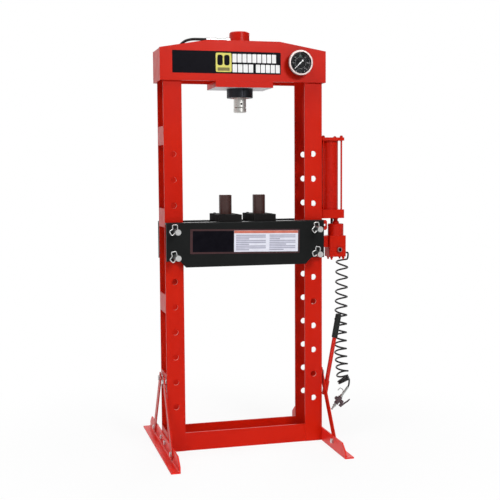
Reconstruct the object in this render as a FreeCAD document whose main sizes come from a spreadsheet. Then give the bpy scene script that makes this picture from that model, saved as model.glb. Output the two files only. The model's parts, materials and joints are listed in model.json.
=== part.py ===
import FreeCAD, Part
import Sketcher
import math
import os

# A floor-standing H-frame hydraulic shop press with an air-over-oil pump.
# Origin: on the floor, under the ram's axis. X runs to the right along the
# head, Y to the rear and Z up. Every length is in millimetres.

Vector = FreeCAD.Vector
Rotation = FreeCAD.Rotation

DIMENSIONS = {
    # Columns: four flat bars with a row of pin holes, tied by flush straps
    "opening_width": 551,
    "bar_width": 80,
    "bar_thick": 8,
    "frame_depth": 153,
    "bar_bottom": 2,
    "bar_top": 1742,
    "hole_width": 26,
    "hole_pitch": 110,
    "hole_rows": 11,
    "hole_lowest": 201,
    "strap_tall": 80,
    "strap_thick": 6,
    "strap_foot_level": 48,
    "strap_brace_level": 305,
    "strap_lower_level": 654,
    "strap_pump_level": 1027,
    "strap_upper_level": 1381,
    # Base: two cross beams, two angle feet and four braces
    "base_beam_inset": 2,
    "foot_tall": 60,
    "foot_flange": 40,
    "foot_thick": 6,
    "foot_length": 756,
    "foot_root": 5,
    "foot_cut_long": 43,
    "foot_cut_tall": 32,
    "brace_width": 36,
    "brace_thick": 5,
    "brace_end": 18,
    "brace_top_reach": 47,
    "brace_top_level": 309,
    "brace_foot_reach": 225,
    "brace_foot_level": 38,
    # Fasteners of the frame
    "bolt_width": 12,
    "bolt_clearance": 1,
    "bolt_head_across": 19,
    "bolt_head_tall": 7.5,
    "nut_tall": 10,
    "spacer_width": 28,
    # Head: two plates with sloping shoulders, closed at the ends
    "head_thick": 12,
    "head_half_length": 370,
    "head_bottom": 1613,
    "head_shoulder": 1750,
    "head_crown": 1786,
    "crown_half_length": 160,
    "head_end_thick": 8,
    "mount_length": 256,
    "mount_thick": 26,
    # Ram: cylinder, lock ring, gland, rod, piston and saddle
    "barrel_radius": 44.5,
    "barrel_top": 1833,
    "barrel_chamfer": 4,
    "barrel_cap": 14,
    "bore_radius": 35,
    "bore_bottom": 1602,
    "neck_radius": 40,
    "neck_bore": 32,
    "neck_bottom": 1548,
    "port_level": 1799,
    "port_radius": 5,
    "ring_radius": 57.5,
    "ring_tall": 40,
    "ring_notch_wide": 8,
    "ring_notch_deep": 5,
    "gland_tall": 46,
    "rod_radius": 27.5,
    "rod_bottom": 1506,
    "rod_chamfer": 1.5,
    "running_gap": 0.05,
    "piston_tall": 40,
    "piston_bottom": 1754,
    "spigot_radius": 12,
    "saddle_radius": 28,
    "saddle_tall": 22,
    "saddle_chamfer": 3,
    "socket_radius": 13,
    "socket_deep": 34,
    "screw_radius": 4,
    "screw_level": 1521,
    # Gauge on the head's front
    "gauge_x": 242,
    "gauge_level": 1694,
    "gauge_standoff": 9,
    "gauge_radius": 50,
    "gauge_deep": 28,
    "gauge_wall": 2.5,
    "dial_level": 30,
    "dial_thick": 1.5,
    "glass_thick": 3.4,
    "bezel_radius": 55,
    "needle_length": 42,
    "needle_tail": 17,
    "stem_radius": 7,
    "stem_nut_radius": 13,
    "gauge_tube_radius": 3,
    # Bed: two channel beams on four pins
    "bed_half_length": 355,
    "bed_half_depth": 107,
    "bed_flange": 30,
    "bed_thick": 8,
    "bed_bend": 5,
    "bed_top_over_hole": 38,
    "bed_bottom_under_hole": 46,
    "bed_tab_under_hole": 18,
    "bed_bottom_half": 268,
    "bed_row": 6,
    "cross_plate_tall": 120,
    "cross_plate_x": 262,
    "pin_width": 25,
    "pin_front": 175,
    "pin_head_width": 34,
    "pin_head_thick": 10,
    "pin_drop": 0.45,
    "pin_hole_width": 5,
    "pin_hole_inset": 15,
    "clip_wire": 4,
    # Loose support blocks with posts, resting on the bed
    "block_length": 100,
    "block_depth": 200,
    "block_tall": 30,
    "block_left_x": -70,
    "block_right_x": 84,
    "post_radius": 28,
    "post_tall": 85,
    "post_chamfer": 2,
    # Pump on the right column
    "bracket_thick": 6.5,
    "bracket_half_depth": 60,
    "bracket_bottom": 835,
    "bracket_top": 1060,
    "tank_x": 417,
    "tank_radius": 40,
    "tank_wall": 3.5,
    "tank_end_side": 110,
    "tank_end_corner": 8,
    "tank_base_bottom": 1012,
    "tank_base_tall": 39,
    "tank_tall": 310,
    "tank_cap_thick": 14,
    "tie_rod_width": 8,
    "tie_rod_offset": 43,
    "tie_nut_across": 13,
    "tie_nut_tall": 7,
    "body_x": 444.5,
    "body_y": -11,
    "body_radius": 36,
    "body_tall": 54,
    "neck_tall": 26,
    "block_x_left": 403,
    "block_x_right": 482,
    "block_y_front": -47,
    "block_y_rear": 25,
    "block_bottom": 836,
    "block_high": 96,
    "valve_x": 447.5,
    "valve_level": 869,
    "valve_radius": 11,
    "valve_spindle": 6,
    "outlet_x": 452,
    "outlet_level": 905,
    # Curly air hose
    "hose_width": 8,
    "hose_exit_y": -8,
    "hose_exit_level": 851,
    "hose_collar": 4,
    "coil_radius": 26.5,
    "coil_top": 829.6,
    "coil_open_turns": 14,
    "coil_closed_turns": 1.93,
    "coil_closed_pitch": 9.3,
    "coil_closed_lean": 25,
    "coil_closed_tilt": 20,
    # Air gun at the hose's lower end
    "gun_x": 426,
    "gun_level": 121.5,
    "gun_lean": 38.6,
    "gun_length": 130,
    # Pump handle, parked in its holder
    "handle_foot_x": 373.8,
    "handle_y": -60,
    "handle_foot_level": 211,
    "handle_lean": 10.57,
    "handle_radius": 9.5,
    "handle_wall": 2,
    "handle_length": 368,
    "grip_radius": 13.5,
    "grip_length": 110,
    "holder_radius": 12.5,
    "holder_bore": 10,
    "holder_length": 64,
}

doc = FreeCAD.newDocument("HydraulicPress")
sheet = doc.addObject("Spreadsheet::Sheet", "Sizes")
for row, (name, value) in enumerate(DIMENSIONS.items(), start=1):
    sheet.set("A%d" % row, name)
    sheet.set("B%d" % row, str(value))
    sheet.setAlias("B%d" % row, name)
doc.recompute()


class Size:
    """A dimension that keeps both its number and the sheet formula for it."""

    def __init__(self, value, formula):
        self.value = float(value)
        self.formula = formula

    def combined(self, other, sign, value):
        return Size(value, "(%s %s %s)" % (self.formula, sign, size(other).formula))

    def __add__(self, other):
        return self.combined(other, "+", self.value + size(other).value)

    def __sub__(self, other):
        return self.combined(other, "-", self.value - size(other).value)

    def __mul__(self, other):
        return self.combined(other, "*", self.value * size(other).value)

    def __truediv__(self, other):
        return self.combined(other, "/", self.value / size(other).value)

    def __radd__(self, other):
        return size(other) + self

    def __rsub__(self, other):
        return size(other) - self

    def __rmul__(self, other):
        return size(other) * self

    def __neg__(self):
        return size(0) - self

    def root(self):
        return Size(math.sqrt(self.value), "sqrt(%s)" % self.formula)


def size(number):
    """A plain number as a Size; a Size stays as it is."""
    if isinstance(number, Size):
        return number
    return Size(number, "(%s)" % number)


class Dimensions:
    """The driving dimensions, each under its own name."""

    def __init__(self, names):
        for alias in names:
            setattr(self, alias, Size(sheet.get(alias), "Sizes." + alias))


d = Dimensions(DIMENSIONS)

# Places that several pieces share
column_x = (d.opening_width + d.bar_width) / 2
column_side = d.opening_width / 2 + d.bar_width
frame_half = d.frame_depth / 2
bar_inner = frame_half - d.bar_thick
head_face = frame_half + d.head_thick
foot_side = column_side + d.foot_thick
bolt_radius = d.bolt_width / 2
bolt_hole = (d.bolt_width + d.bolt_clearance) / 2
bed_hole = d.hole_lowest + d.bed_row * d.hole_pitch - 2 * d.pin_drop
bed_top = bed_hole + d.hole_pitch + d.bed_top_over_hole
bed_bottom = bed_hole - d.bed_bottom_under_hole
mount_bottom = d.head_bottom - d.mount_thick
tank_bottom = d.tank_base_bottom + d.tank_base_tall
tank_top = tank_bottom + d.tank_tall
cap_top = tank_top + d.tank_cap_thick
block_top = d.block_bottom + d.block_high
SIDES = (("left", -1), ("right", 1))


# ---------------------------------------------------------------- helpers

def bind(thing, prop, amount):
    """Set a property from a Size, through its sheet formula."""
    thing.setExpression(prop, size(amount).formula)


def place(thing, x=0, y=0, z=0, turn=None):
    """Turn a piece, then hold its origin at x, y, z."""
    if turn is not None:
        thing.Placement = FreeCAD.Placement(Vector(), turn)
    for axis, amount in (("x", x), ("y", y), ("z", z)):
        bind(thing, "Placement.Base." + axis, amount)
    return thing


def about(axis, degrees):
    """A rotation about the axis named x, y or z."""
    axes = {"x": Vector(1, 0, 0), "y": Vector(0, 1, 0), "z": Vector(0, 0, 1)}
    return Rotation(axes[axis], degrees)


def new_body(label):
    """An empty body whose name becomes the node's name."""
    body = doc.addObject("PartDesign::Body", label)
    body.Label = label
    return body


def new_sketch(body, plane):
    """A sketch on one of the body's own origin planes: XY, XZ or YZ."""
    sketch = body.newObject("Sketcher::SketchObject", "%s_outline" % body.Name)
    role = plane + "_Plane"
    support = [f for f in body.Origin.OriginFeatures if f.Role == role][0]
    sketch.AttachmentSupport = [(support, "")]
    sketch.MapMode = "FlatFace"
    return sketch


def hold_point(sketch, geometry, end, x, y):
    """Dimension one point of a sketch from its origin."""
    for kind, amount in (("DistanceX", size(x)), ("DistanceY", size(y))):
        held = Sketcher.Constraint(kind, -1, 1, geometry, end, amount.value)
        index = sketch.addConstraint(held)
        sketch.setExpression("Constraints[%d]" % index, amount.formula)


def draw_outline(sketch, corners):
    """Draw a closed outline of straight lines through the given corners."""
    points = [Vector(size(x).value, size(y).value, 0) for x, y in corners]
    first = len(sketch.Geometry)
    count = len(points)
    for i in range(count):
        sketch.addGeometry(Part.LineSegment(points[i], points[(i + 1) % count]), False)
    for i in range(count):
        following = first + (i + 1) % count
        sketch.addConstraint(Sketcher.Constraint("Coincident", first + i, 2, following, 1))
    for i, (x, y) in enumerate(corners):
        hold_point(sketch, first + i, 1, x, y)


def draw_box(sketch, x0, x1, y0, y1):
    """Draw a rectangle between two corners."""
    draw_outline(sketch, [(x0, y0), (x1, y0), (x1, y1), (x0, y1)])


def draw_circle(sketch, x, y, radius):
    """Draw a circle."""
    centre = Vector(size(x).value, size(y).value, 0)
    circle = Part.Circle(centre, Vector(0, 0, 1), size(radius).value)
    index = sketch.addGeometry(circle, False)
    held = sketch.addConstraint(Sketcher.Constraint("Radius", index, size(radius).value))
    sketch.setExpression("Constraints[%d]" % held, size(radius).formula)
    hold_point(sketch, index, 3, x, y)


def pad(body, sketch, length, both_ways=False, backwards=False):
    """Extrude a sketch into the body."""
    feature = body.newObject("PartDesign::Pad", body.Name + "_pad")
    feature.Profile = sketch
    bind(feature, "Length", length)
    feature.Reversed = backwards
    if both_ways:
        feature.SideType = "Symmetric"
    return feature


def drill(body, sketch):
    """Cut a sketch right through the body, both ways."""
    feature = body.newObject("PartDesign::Pocket", body.Name + "_cut")
    feature.Profile = sketch
    feature.Type = 1
    feature.SideType = "Symmetric"
    return feature


def pocket(body, sketch, length, backwards=False):
    """Cut a sketch into the body to one side, to a set depth."""
    feature = body.newObject("PartDesign::Pocket", body.Name + "_pocket")
    feature.Profile = sketch
    bind(feature, "Length", length)
    feature.Reversed = backwards
    return feature


def fillet(body, radius, points):
    """Round the edges of the body that pass through the given points."""
    doc.recompute()
    base = body.Tip
    names = []
    for point in points:
        spot = Part.Vertex(Vector(*[size(amount).value for amount in point]))
        gaps = [edge.distToShape(spot)[0] for edge in base.Shape.Edges]
        names.append("Edge%d" % (gaps.index(min(gaps)) + 1))
    feature = body.newObject("PartDesign::Fillet", body.Name + "_fillet")
    feature.Base = (base, names)
    bind(feature, "Radius", radius)
    return feature


def plate(label, plane, corners, thickness, holes=(), both_ways=False, backwards=False):
    """A flat piece: an outline with round holes, extruded."""
    body = new_body(label)
    sketch = new_sketch(body, plane)
    draw_outline(sketch, corners)
    for x, y, radius in holes:
        draw_circle(sketch, x, y, radius)
    pad(body, sketch, thickness, both_ways, backwards)
    return body


def turned(label, profile):
    """A piece turned about its own Z axis from an outline of (radius, height)."""
    body = new_body(label)
    sketch = new_sketch(body, "XZ")
    draw_outline(sketch, profile)
    feature = body.newObject("PartDesign::Revolution", label + "_turning")
    feature.Profile = sketch
    feature.ReferenceAxis = (sketch, ["V_Axis"])
    feature.Angle = 360
    return body


def box(label, x, y, z):
    """A block between pairs of X, Y and Z limits."""
    block = doc.addObject("Part::Box", label)
    for prop, (low, high) in (("Length", x), ("Width", y), ("Height", z)):
        bind(block, prop, size(high) - low)
    return place(block, x[0], y[0], z[0])


def rod(label, radius, height, x=0, y=0, z=0, turn=None):
    """A round bar from x, y, z along its own Z axis."""
    bar = doc.addObject("Part::Cylinder", label)
    bind(bar, "Radius", radius)
    bind(bar, "Height", height)
    return place(bar, x, y, z, turn)


def hexagon(label, across, height, x=0, y=0, z=0, turn=None):
    """A hexagonal bar of a given width across its flats."""
    bar = doc.addObject("Part::Prism", label)
    bar.Polygon = 6
    bind(bar, "Circumradius", size(across) / size(3).root())
    bind(bar, "Height", height)
    return place(bar, x, y, z, turn)


def joined(label, pieces):
    """One solid fused from several."""
    whole = doc.addObject("Part::MultiFuse", label)
    whole.Shapes = pieces
    return whole


def without(label, base, tool):
    """A solid with another cut away."""
    rest = doc.addObject("Part::Cut", label)
    rest.Base = base
    rest.Tool = tool
    return rest


def group(label, pieces):
    """Separate solids that share one node."""
    whole = doc.addObject("Part::Compound", label)
    whole.Links = pieces
    return whole


def shaped(label, shape):
    """A node whose shape is worked out here."""
    feature = doc.addObject("Part::Feature", label)
    feature.Shape = shape
    return feature


def unit(vector):
    """A vector's direction."""
    return vector / vector.Length


def arc_edge(start, middle, end):
    """A round edge through three points."""
    return Part.Arc(start, middle, end).toShape()


def rounded_path(points, radius=None):
    """Straight runs joined by tangent arcs.

    Each arc takes up to 0.45 of the shorter run beside it, or the radius given.
    The edges and the radii come back.
    """
    edges = []
    radii = []
    start = points[0]
    for before, corner, after in zip(points, points[1:], points[2:]):
        inward = unit(corner - before)
        outward = unit(after - corner)
        half_turn = inward.getAngle(outward) / 2
        shorter = min((corner - before).Length, (after - corner).Length)
        bend = 0.45 * shorter / math.tan(half_turn)
        if radius is not None:
            bend = min(bend, radius)
        setback = bend * math.tan(half_turn)
        arc_start = corner - inward * setback
        arc_end = corner + outward * setback
        towards = unit(outward - inward)
        centre = corner + towards * (bend / math.cos(half_turn))
        edges.append(Part.LineSegment(start, arc_start).toShape())
        edges.append(arc_edge(arc_start, centre - towards * bend, arc_end))
        radii.append(bend)
        start = arc_end
    edges.append(Part.LineSegment(start, points[-1]).toShape())
    return edges, radii


def tube_along(edges, heading, radius):
    """A round solid swept along joined edges from their first point."""
    path = Part.Wire(edges)
    start = edges[0].Vertexes[0].Point
    ring = Part.Wire([Part.Circle(start, heading, radius).toShape()])
    return path.makePipeShell([ring], True, False)


# ---------------------------------------------------------------- columns

def column_bar(label, side, front):
    """One flat bar of a column, with its row of pin holes."""
    body = new_body(label)
    outline = new_sketch(body, "XZ")
    draw_box(outline, -d.bar_width / 2, d.bar_width / 2, d.bar_bottom, d.bar_top)
    pad(body, outline, d.bar_thick)
    hole = new_sketch(body, "XZ")
    draw_circle(hole, 0, d.hole_lowest, d.hole_width / 2)
    first = drill(body, hole)
    row = body.newObject("PartDesign::LinearPattern", label + "_holes")
    row.Originals = [first]
    row.Direction = (hole, ["V_Axis"])
    bind(row, "Length", (d.hole_rows - 1) * d.hole_pitch)
    row.Occurrences = int(d.hole_rows.value)
    body.Tip = row
    place(body, side * column_x, -bar_inner if front else frame_half)


def column_straps(label, side):
    """The five straps that tie one column's front bar to its rear bar."""
    body = new_body(label)
    sketch = new_sketch(body, "YZ")
    levels = (d.strap_foot_level, d.strap_brace_level, d.strap_lower_level,
              d.strap_pump_level, d.strap_upper_level)
    for level in levels:
        half = d.strap_tall / 2
        draw_box(sketch, -bar_inner, bar_inner, level - half, level + half)
    for y in (-d.brace_top_reach, d.brace_top_reach):
        draw_circle(sketch, y, d.brace_foot_level, bolt_hole)
        draw_circle(sketch, y, d.brace_top_level, bolt_hole)
    pad(body, sketch, d.strap_thick, backwards=side > 0)
    place(body, side * column_side)


for side_name, side in SIDES:
    column_bar("column_%s_front" % side_name, side, True)
    column_bar("column_%s_rear" % side_name, side, False)
    column_straps("column_%s_straps" % side_name, side)


# ---------------------------------------------------------------- base

def base_beam(label, front):
    """A cross beam between the columns, just above the floor."""
    half = d.opening_width / 2
    corners = [(-half, d.bar_bottom), (half, d.bar_bottom),
               (half, d.bar_bottom + d.bar_width), (-half, d.bar_bottom + d.bar_width)]
    body = plate(label, "XZ", corners, d.bar_thick)
    outer = frame_half - d.base_beam_inset
    place(body, 0, d.bar_thick - outer if front else outer)


def foot(label, side):
    """An angle foot with its top edge cut down at both ends."""
    body = new_body(label)
    section = new_sketch(body, "XZ")
    draw_outline(section, [(side * column_side, 0),
                           (side * (column_side + d.foot_flange), 0),
                           (side * (column_side + d.foot_flange), d.foot_thick),
                           (side * foot_side, d.foot_thick),
                           (side * foot_side, d.foot_tall),
                           (side * column_side, d.foot_tall)])
    pad(body, section, d.foot_length, both_ways=True)
    fillet(body, d.foot_root, [(side * foot_side, 0, d.foot_thick)])
    half = d.foot_length / 2
    cuts = new_sketch(body, "YZ")
    for end in (-1, 1):
        draw_outline(cuts, [(end * (half - d.foot_cut_long), d.foot_tall),
                            (end * half, d.foot_tall - d.foot_cut_tall),
                            (end * (half + 5), d.foot_tall - d.foot_cut_tall),
                            (end * (half + 5), d.foot_tall + 5),
                            (end * (half - d.foot_cut_long), d.foot_tall + 5)])
        for reach in (d.brace_top_reach, d.brace_foot_reach):
            draw_circle(cuts, end * reach, d.brace_foot_level, bolt_hole)
    drill(body, cuts)


def braces(label, side):
    """The two sloping flat bars from a column's strap to its foot."""
    body = new_body(label)
    sketch = new_sketch(body, "YZ")
    run = d.brace_foot_reach - d.brace_top_reach
    fall = d.brace_top_level - d.brace_foot_level
    length = (run * run + fall * fall).root()
    along_y = run / length
    along_z = fall / length
    half = d.brace_width / 2
    for end in (-1, 1):
        corners = []
        for level, reach, beyond, across in (
                (d.brace_top_level, d.brace_top_reach, -1, -1),
                (d.brace_top_level, d.brace_top_reach, -1, 1),
                (d.brace_foot_level, d.brace_foot_reach, 1, 1),
                (d.brace_foot_level, d.brace_foot_reach, 1, -1)):
            y = reach + beyond * d.brace_end * along_y + across * half * along_z
            z = level - beyond * d.brace_end * along_z + across * half * along_y
            corners.append((end * y, z))
        draw_outline(sketch, corners)
        draw_circle(sketch, end * d.brace_top_reach, d.brace_top_level, bolt_hole)
        draw_circle(sketch, end * d.brace_foot_reach, d.brace_foot_level, bolt_hole)
    pad(body, sketch, d.brace_thick, backwards=side < 0)
    place(body, side * foot_side)


def bolt(label, side, grip_inside, grip_outside, y, z):
    """A hexagon bolt along X with its nut, clamping between two X distances."""
    outward = about("y", 90 * side)
    shank_length = grip_outside - grip_inside + d.nut_tall
    shank = rod(label + "_shank", bolt_radius, shank_length,
                side * (grip_inside - d.nut_tall), y, z, outward)
    head = hexagon(label + "_head", d.bolt_head_across, d.bolt_head_tall,
                   side * grip_outside, y, z, outward)
    nut_blank = hexagon(label + "_nut_blank", d.bolt_head_across, d.nut_tall,
                        side * (grip_inside - d.nut_tall), y, z, outward)
    nut_bore = rod(label + "_nut_bore", bolt_radius, d.nut_tall,
                   side * (grip_inside - d.nut_tall), y, z, outward)
    return [joined(label + "_bolt", [shank, head]),
            without(label + "_nut", nut_blank, nut_bore)]


def spacer(label, side, y, z):
    """A thick washer that carries a brace's top end clear of the strap."""
    outward = about("y", 90 * side)
    disc = rod(label + "_disc", d.spacer_width / 2, d.foot_thick,
               side * column_side, y, z, outward)
    bore = rod(label + "_bore", bolt_hole, d.foot_thick,
               side * column_side, y, z, outward)
    return without(label, disc, bore)


def frame_bolts():
    """Every bolt, nut and spacer of the feet and braces."""
    strap_inside = column_side - d.strap_thick
    brace_outside = foot_side + d.brace_thick
    pieces = []
    for side_name, side in SIDES:
        for end_name, end in (("front", -1), ("rear", 1)):
            name = "%s_%s" % (side_name, end_name)
            top_y = end * d.brace_top_reach
            pieces += bolt(name + "_foot", side, strap_inside, foot_side,
                           top_y, d.brace_foot_level)
            pieces += bolt(name + "_brace_foot", side, column_side, brace_outside,
                           end * d.brace_foot_reach, d.brace_foot_level)
            pieces += bolt(name + "_brace_top", side, strap_inside, brace_outside,
                           top_y, d.brace_top_level)
            pieces.append(spacer(name + "_spacer", side, top_y, d.brace_top_level))
    group("frame_bolts", pieces)


base_beam("base_front_beam", True)
base_beam("base_rear_beam", False)
for side_name, side in SIDES:
    foot("foot_" + side_name, side)
    braces("braces_" + side_name, side)
frame_bolts()


# ---------------------------------------------------------------- head

def head_plate(label, front):
    """A head plate with sloping shoulders; the front one carries the gauge."""
    half = d.head_half_length
    corners = [(-half, d.head_bottom), (half, d.head_bottom), (half, d.head_shoulder),
               (d.crown_half_length, d.head_crown), (-d.crown_half_length, d.head_crown),
               (-half, d.head_shoulder)]
    holes = [(d.gauge_x, d.gauge_level, d.stem_radius + 0.5)] if front else []
    body = plate(label, "XZ", corners, d.head_thick, holes)
    place(body, 0, -frame_half if front else head_face)


def head_ends():
    """The two plates that close the head's ends between the head plates."""
    body = new_body("head_end_plates")
    sketch = new_sketch(body, "XZ")
    inner = d.head_half_length - d.head_end_thick
    top = d.head_shoulder - 2
    draw_box(sketch, -d.head_half_length, -inner, d.head_bottom, top)
    draw_box(sketch, inner, d.head_half_length, d.head_bottom, top)
    pad(body, sketch, d.frame_depth, both_ways=True)


def mount_plate():
    """The thick plate under the head that the cylinder sits in."""
    half = d.mount_length / 2
    corners = [(-half, -head_face), (half, -head_face), (half, head_face), (-half, head_face)]
    body = plate("cylinder_mount_plate", "XY", corners, d.mount_thick,
                 [(0, 0, d.neck_radius + 1)])
    place(body, 0, 0, mount_bottom)


head_plate("head_front_plate", True)
head_plate("head_rear_plate", False)
head_ends()
mount_plate()


# ---------------------------------------------------------------- ram

def ram_cylinder():
    """The cylinder: a neck through the mount plate, a barrel above and two ports.

    The oil comes in on the left; the gauge's tube leaves at the rear.
    """
    chamfer = d.barrel_chamfer
    body = turned("ram_cylinder", [
        (d.neck_bore, d.neck_bottom), (d.neck_radius, d.neck_bottom),
        (d.neck_radius, d.head_bottom), (d.barrel_radius, d.head_bottom),
        (d.barrel_radius, d.barrel_top - chamfer),
        (d.barrel_radius - chamfer, d.barrel_top), (0, d.barrel_top),
        (0, d.barrel_top - d.barrel_cap), (d.bore_radius, d.barrel_top - d.barrel_cap),
        (d.bore_radius, d.bore_bottom), (d.neck_bore, d.bore_bottom)])
    for plane, radius in (("YZ", d.port_radius), ("XZ", d.gauge_tube_radius + 0.05)):
        port = new_sketch(body, plane)
        draw_circle(port, 0, d.port_level, radius)
        doc.recompute()
        whole = body.Shape.Volume
        pocket(body, port, d.barrel_radius + 1)
        doc.recompute()
        check_cut(body, whole)


def lock_ring():
    """The threaded ring that draws the cylinder down, with four spanner notches."""
    bottom = mount_bottom - d.ring_tall
    inner = d.neck_radius + 0.15
    body = turned("ram_lock_ring", [
        (inner, bottom), (d.ring_radius - 1.5, bottom), (d.ring_radius, bottom + 1.5),
        (d.ring_radius, mount_bottom), (inner, mount_bottom)])
    notch = new_sketch(body, "XY")
    half = d.ring_notch_wide / 2
    draw_box(notch, -half, half, -d.ring_radius - 1, d.ring_notch_deep - d.ring_radius)
    first = drill(body, notch)
    around = body.newObject("PartDesign::PolarPattern", "ram_lock_ring_notches")
    around.Originals = [first]
    around.Axis = (notch, ["N_Axis"])
    around.Angle = 360
    around.Occurrences = 4
    body.Tip = around


def ram_rod():
    """The rod, socketed for the saddle below and with a spigot for the piston above."""
    bottom = d.rod_bottom
    socket_top = bottom + d.socket_deep
    piston_top = d.piston_bottom + d.piston_tall
    body = turned("ram_rod", [
        (d.socket_radius, bottom), (d.rod_radius - d.rod_chamfer, bottom),
        (d.rod_radius, bottom + d.rod_chamfer), (d.rod_radius, d.piston_bottom),
        (d.spigot_radius, d.piston_bottom), (d.spigot_radius, piston_top),
        (0, piston_top), (0, socket_top), (d.socket_radius, socket_top)])
    screw_hole = new_sketch(body, "XZ")
    draw_circle(screw_hole, 0, d.screw_level, d.screw_radius + 0.1)
    doc.recompute()
    whole = body.Shape.Volume
    pocket(body, screw_hole, d.rod_radius + 1, backwards=True)
    doc.recompute()
    check_cut(body, whole)


def check_cut(body, volume_before):
    """Stop if the last cut has taken nothing away."""
    if body.Shape.Volume > volume_before - 1:
        raise RuntimeError("a cut in %s removes nothing" % body.Label)


def saddle():
    """The pressing saddle: a disc with a grooved spigot in the rod's socket."""
    top = d.rod_bottom
    bottom = top - d.saddle_tall
    chamfer = d.saddle_chamfer
    spigot = d.socket_radius - 0.1
    groove = spigot - 1.5
    spigot_top = top + d.socket_deep - 4
    turned("ram_saddle", [
        (0, bottom), (d.saddle_radius - chamfer, bottom),
        (d.saddle_radius, bottom + chamfer), (d.saddle_radius, top - chamfer),
        (d.saddle_radius - chamfer, top), (spigot, top), (spigot, d.screw_level - 6),
        (groove, d.screw_level - 6), (groove, d.screw_level + 6),
        (spigot, d.screw_level + 6), (spigot, spigot_top - 1), (spigot - 1, spigot_top),
        (0, spigot_top)])


def ram():
    """Everything on the ram's axis."""
    ram_cylinder()
    lock_ring()
    turned("ram_gland", [
        (d.rod_radius + d.running_gap, d.neck_bottom + 4),
        (d.neck_bore - 0.05, d.neck_bottom + 4),
        (d.neck_bore - 0.05, d.neck_bottom + 4 + d.gland_tall),
        (d.rod_radius + d.running_gap, d.neck_bottom + 4 + d.gland_tall)])
    ram_rod()
    piston_top = d.piston_bottom + d.piston_tall
    piston_radius = d.bore_radius - d.running_gap
    turned("ram_piston", [
        (d.spigot_radius + 0.05, d.piston_bottom), (piston_radius, d.piston_bottom),
        (piston_radius, piston_top - 1), (piston_radius - 1, piston_top),
        (d.spigot_radius + 0.05, piston_top)])
    saddle()
    rod("saddle_screw", d.screw_radius, 14, 0, 1 - d.rod_radius, d.screw_level,
        about("x", -90))


ram()


# ---------------------------------------------------------------- gauge

# The gauge is drawn with its axis up Z and turned to face the front, where
# its own Z points out of the head's front plate.
facing_front = about("x", 90)


def at_gauge(thing, turn=facing_front):
    """Put a piece of the gauge in its place on the head."""
    return place(thing, d.gauge_x, -head_face, d.gauge_level, turn)


def gauge_case():
    """A cup with a ledge for the dial and a hole for the stem."""
    back = d.gauge_standoff
    front = back + d.gauge_deep
    inner = d.gauge_radius - d.gauge_wall
    floor = back + 3
    stem_hole = d.stem_radius + 0.05
    at_gauge(turned("gauge_case", [
        (stem_hole, back), (d.gauge_radius - 2, back), (d.gauge_radius, back + 2),
        (d.gauge_radius, front), (inner, front), (inner, d.dial_level),
        (inner - d.gauge_wall, d.dial_level), (inner - d.gauge_wall, floor),
        (stem_hole, floor)]))


def gauge_bezel():
    """The ring that holds the glass."""
    front = d.gauge_standoff + d.gauge_deep
    inner = d.gauge_radius + 0.1
    lip = front + d.glass_thick
    at_gauge(turned("gauge_bezel", [
        (inner, d.dial_level), (d.bezel_radius, d.dial_level), (d.bezel_radius, front + 3),
        (d.bezel_radius - 2, front + 6), (d.gauge_radius - 3, front + 6),
        (d.gauge_radius - 3, lip), (inner, lip)]))


def gauge_needle():
    """A tapered pointer on a hub, with a counterweight tail."""
    body = turned("gauge_needle", [
        (0, d.dial_level - 4), (1.4, d.dial_level - 4), (1.4, d.dial_level + 1.8),
        (4, d.dial_level + 1.8), (4, d.dial_level + 5), (3, d.dial_level + 6),
        (0, d.dial_level + 6)])
    blade = new_sketch(body, "XY")
    bind(blade, "AttachmentOffset.Base.z", d.dial_level + 3.5)
    tail = d.needle_tail
    draw_outline(blade, [(0.5, d.needle_length), (2.2, 0), (2.2, -tail + 6), (4, -tail),
                         (-4, -tail), (-2.2, -tail + 6), (-2.2, 0), (-0.5, d.needle_length)])
    pad(body, blade, 1.2)
    at_gauge(body, facing_front * about("z", 135))


def gauge():
    """The pressure gauge with its stem, nuts and oil line."""
    gauge_case()
    dial_hole = 2
    at_gauge(turned("gauge_dial", [
        (dial_hole, d.dial_level), (d.gauge_radius - d.gauge_wall - 0.2, d.dial_level),
        (d.gauge_radius - d.gauge_wall - 0.2, d.dial_level + d.dial_thick),
        (dial_hole, d.dial_level + d.dial_thick)]))
    front = d.gauge_standoff + d.gauge_deep
    at_gauge(turned("gauge_glass", [(0, front), (d.gauge_radius, front),
                                    (d.gauge_radius, front + d.glass_thick),
                                    (0, front + d.glass_thick)]))
    gauge_bezel()
    gauge_needle()
    behind = -d.head_thick
    nut = d.stem_nut_radius
    at_gauge(turned("gauge_stem", [
        (0, behind - 28), (d.stem_radius, behind - 28), (d.stem_radius, behind - 8),
        (nut, behind - 8), (nut, behind), (d.stem_radius, behind), (d.stem_radius, 0),
        (nut, 0), (nut, 8), (d.stem_radius, 8), (d.stem_radius, 13), (0, 13)]))
    tube_start = -head_face + d.head_thick + 28
    points = [Vector(d.gauge_x.value, tube_start.value, d.gauge_level.value),
              Vector(d.gauge_x.value, 62, d.gauge_level.value),
              Vector(0, 62, d.gauge_level.value),
              Vector(0, 62, d.port_level.value),
              Vector(0, d.barrel_radius.value - 7, d.port_level.value)]
    edges, radii = rounded_path(points, 18)
    shaped("gauge_tube", tube_along(edges, Vector(0, 1, 0), d.gauge_tube_radius.value))


gauge()


# ---------------------------------------------------------------- bed

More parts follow.
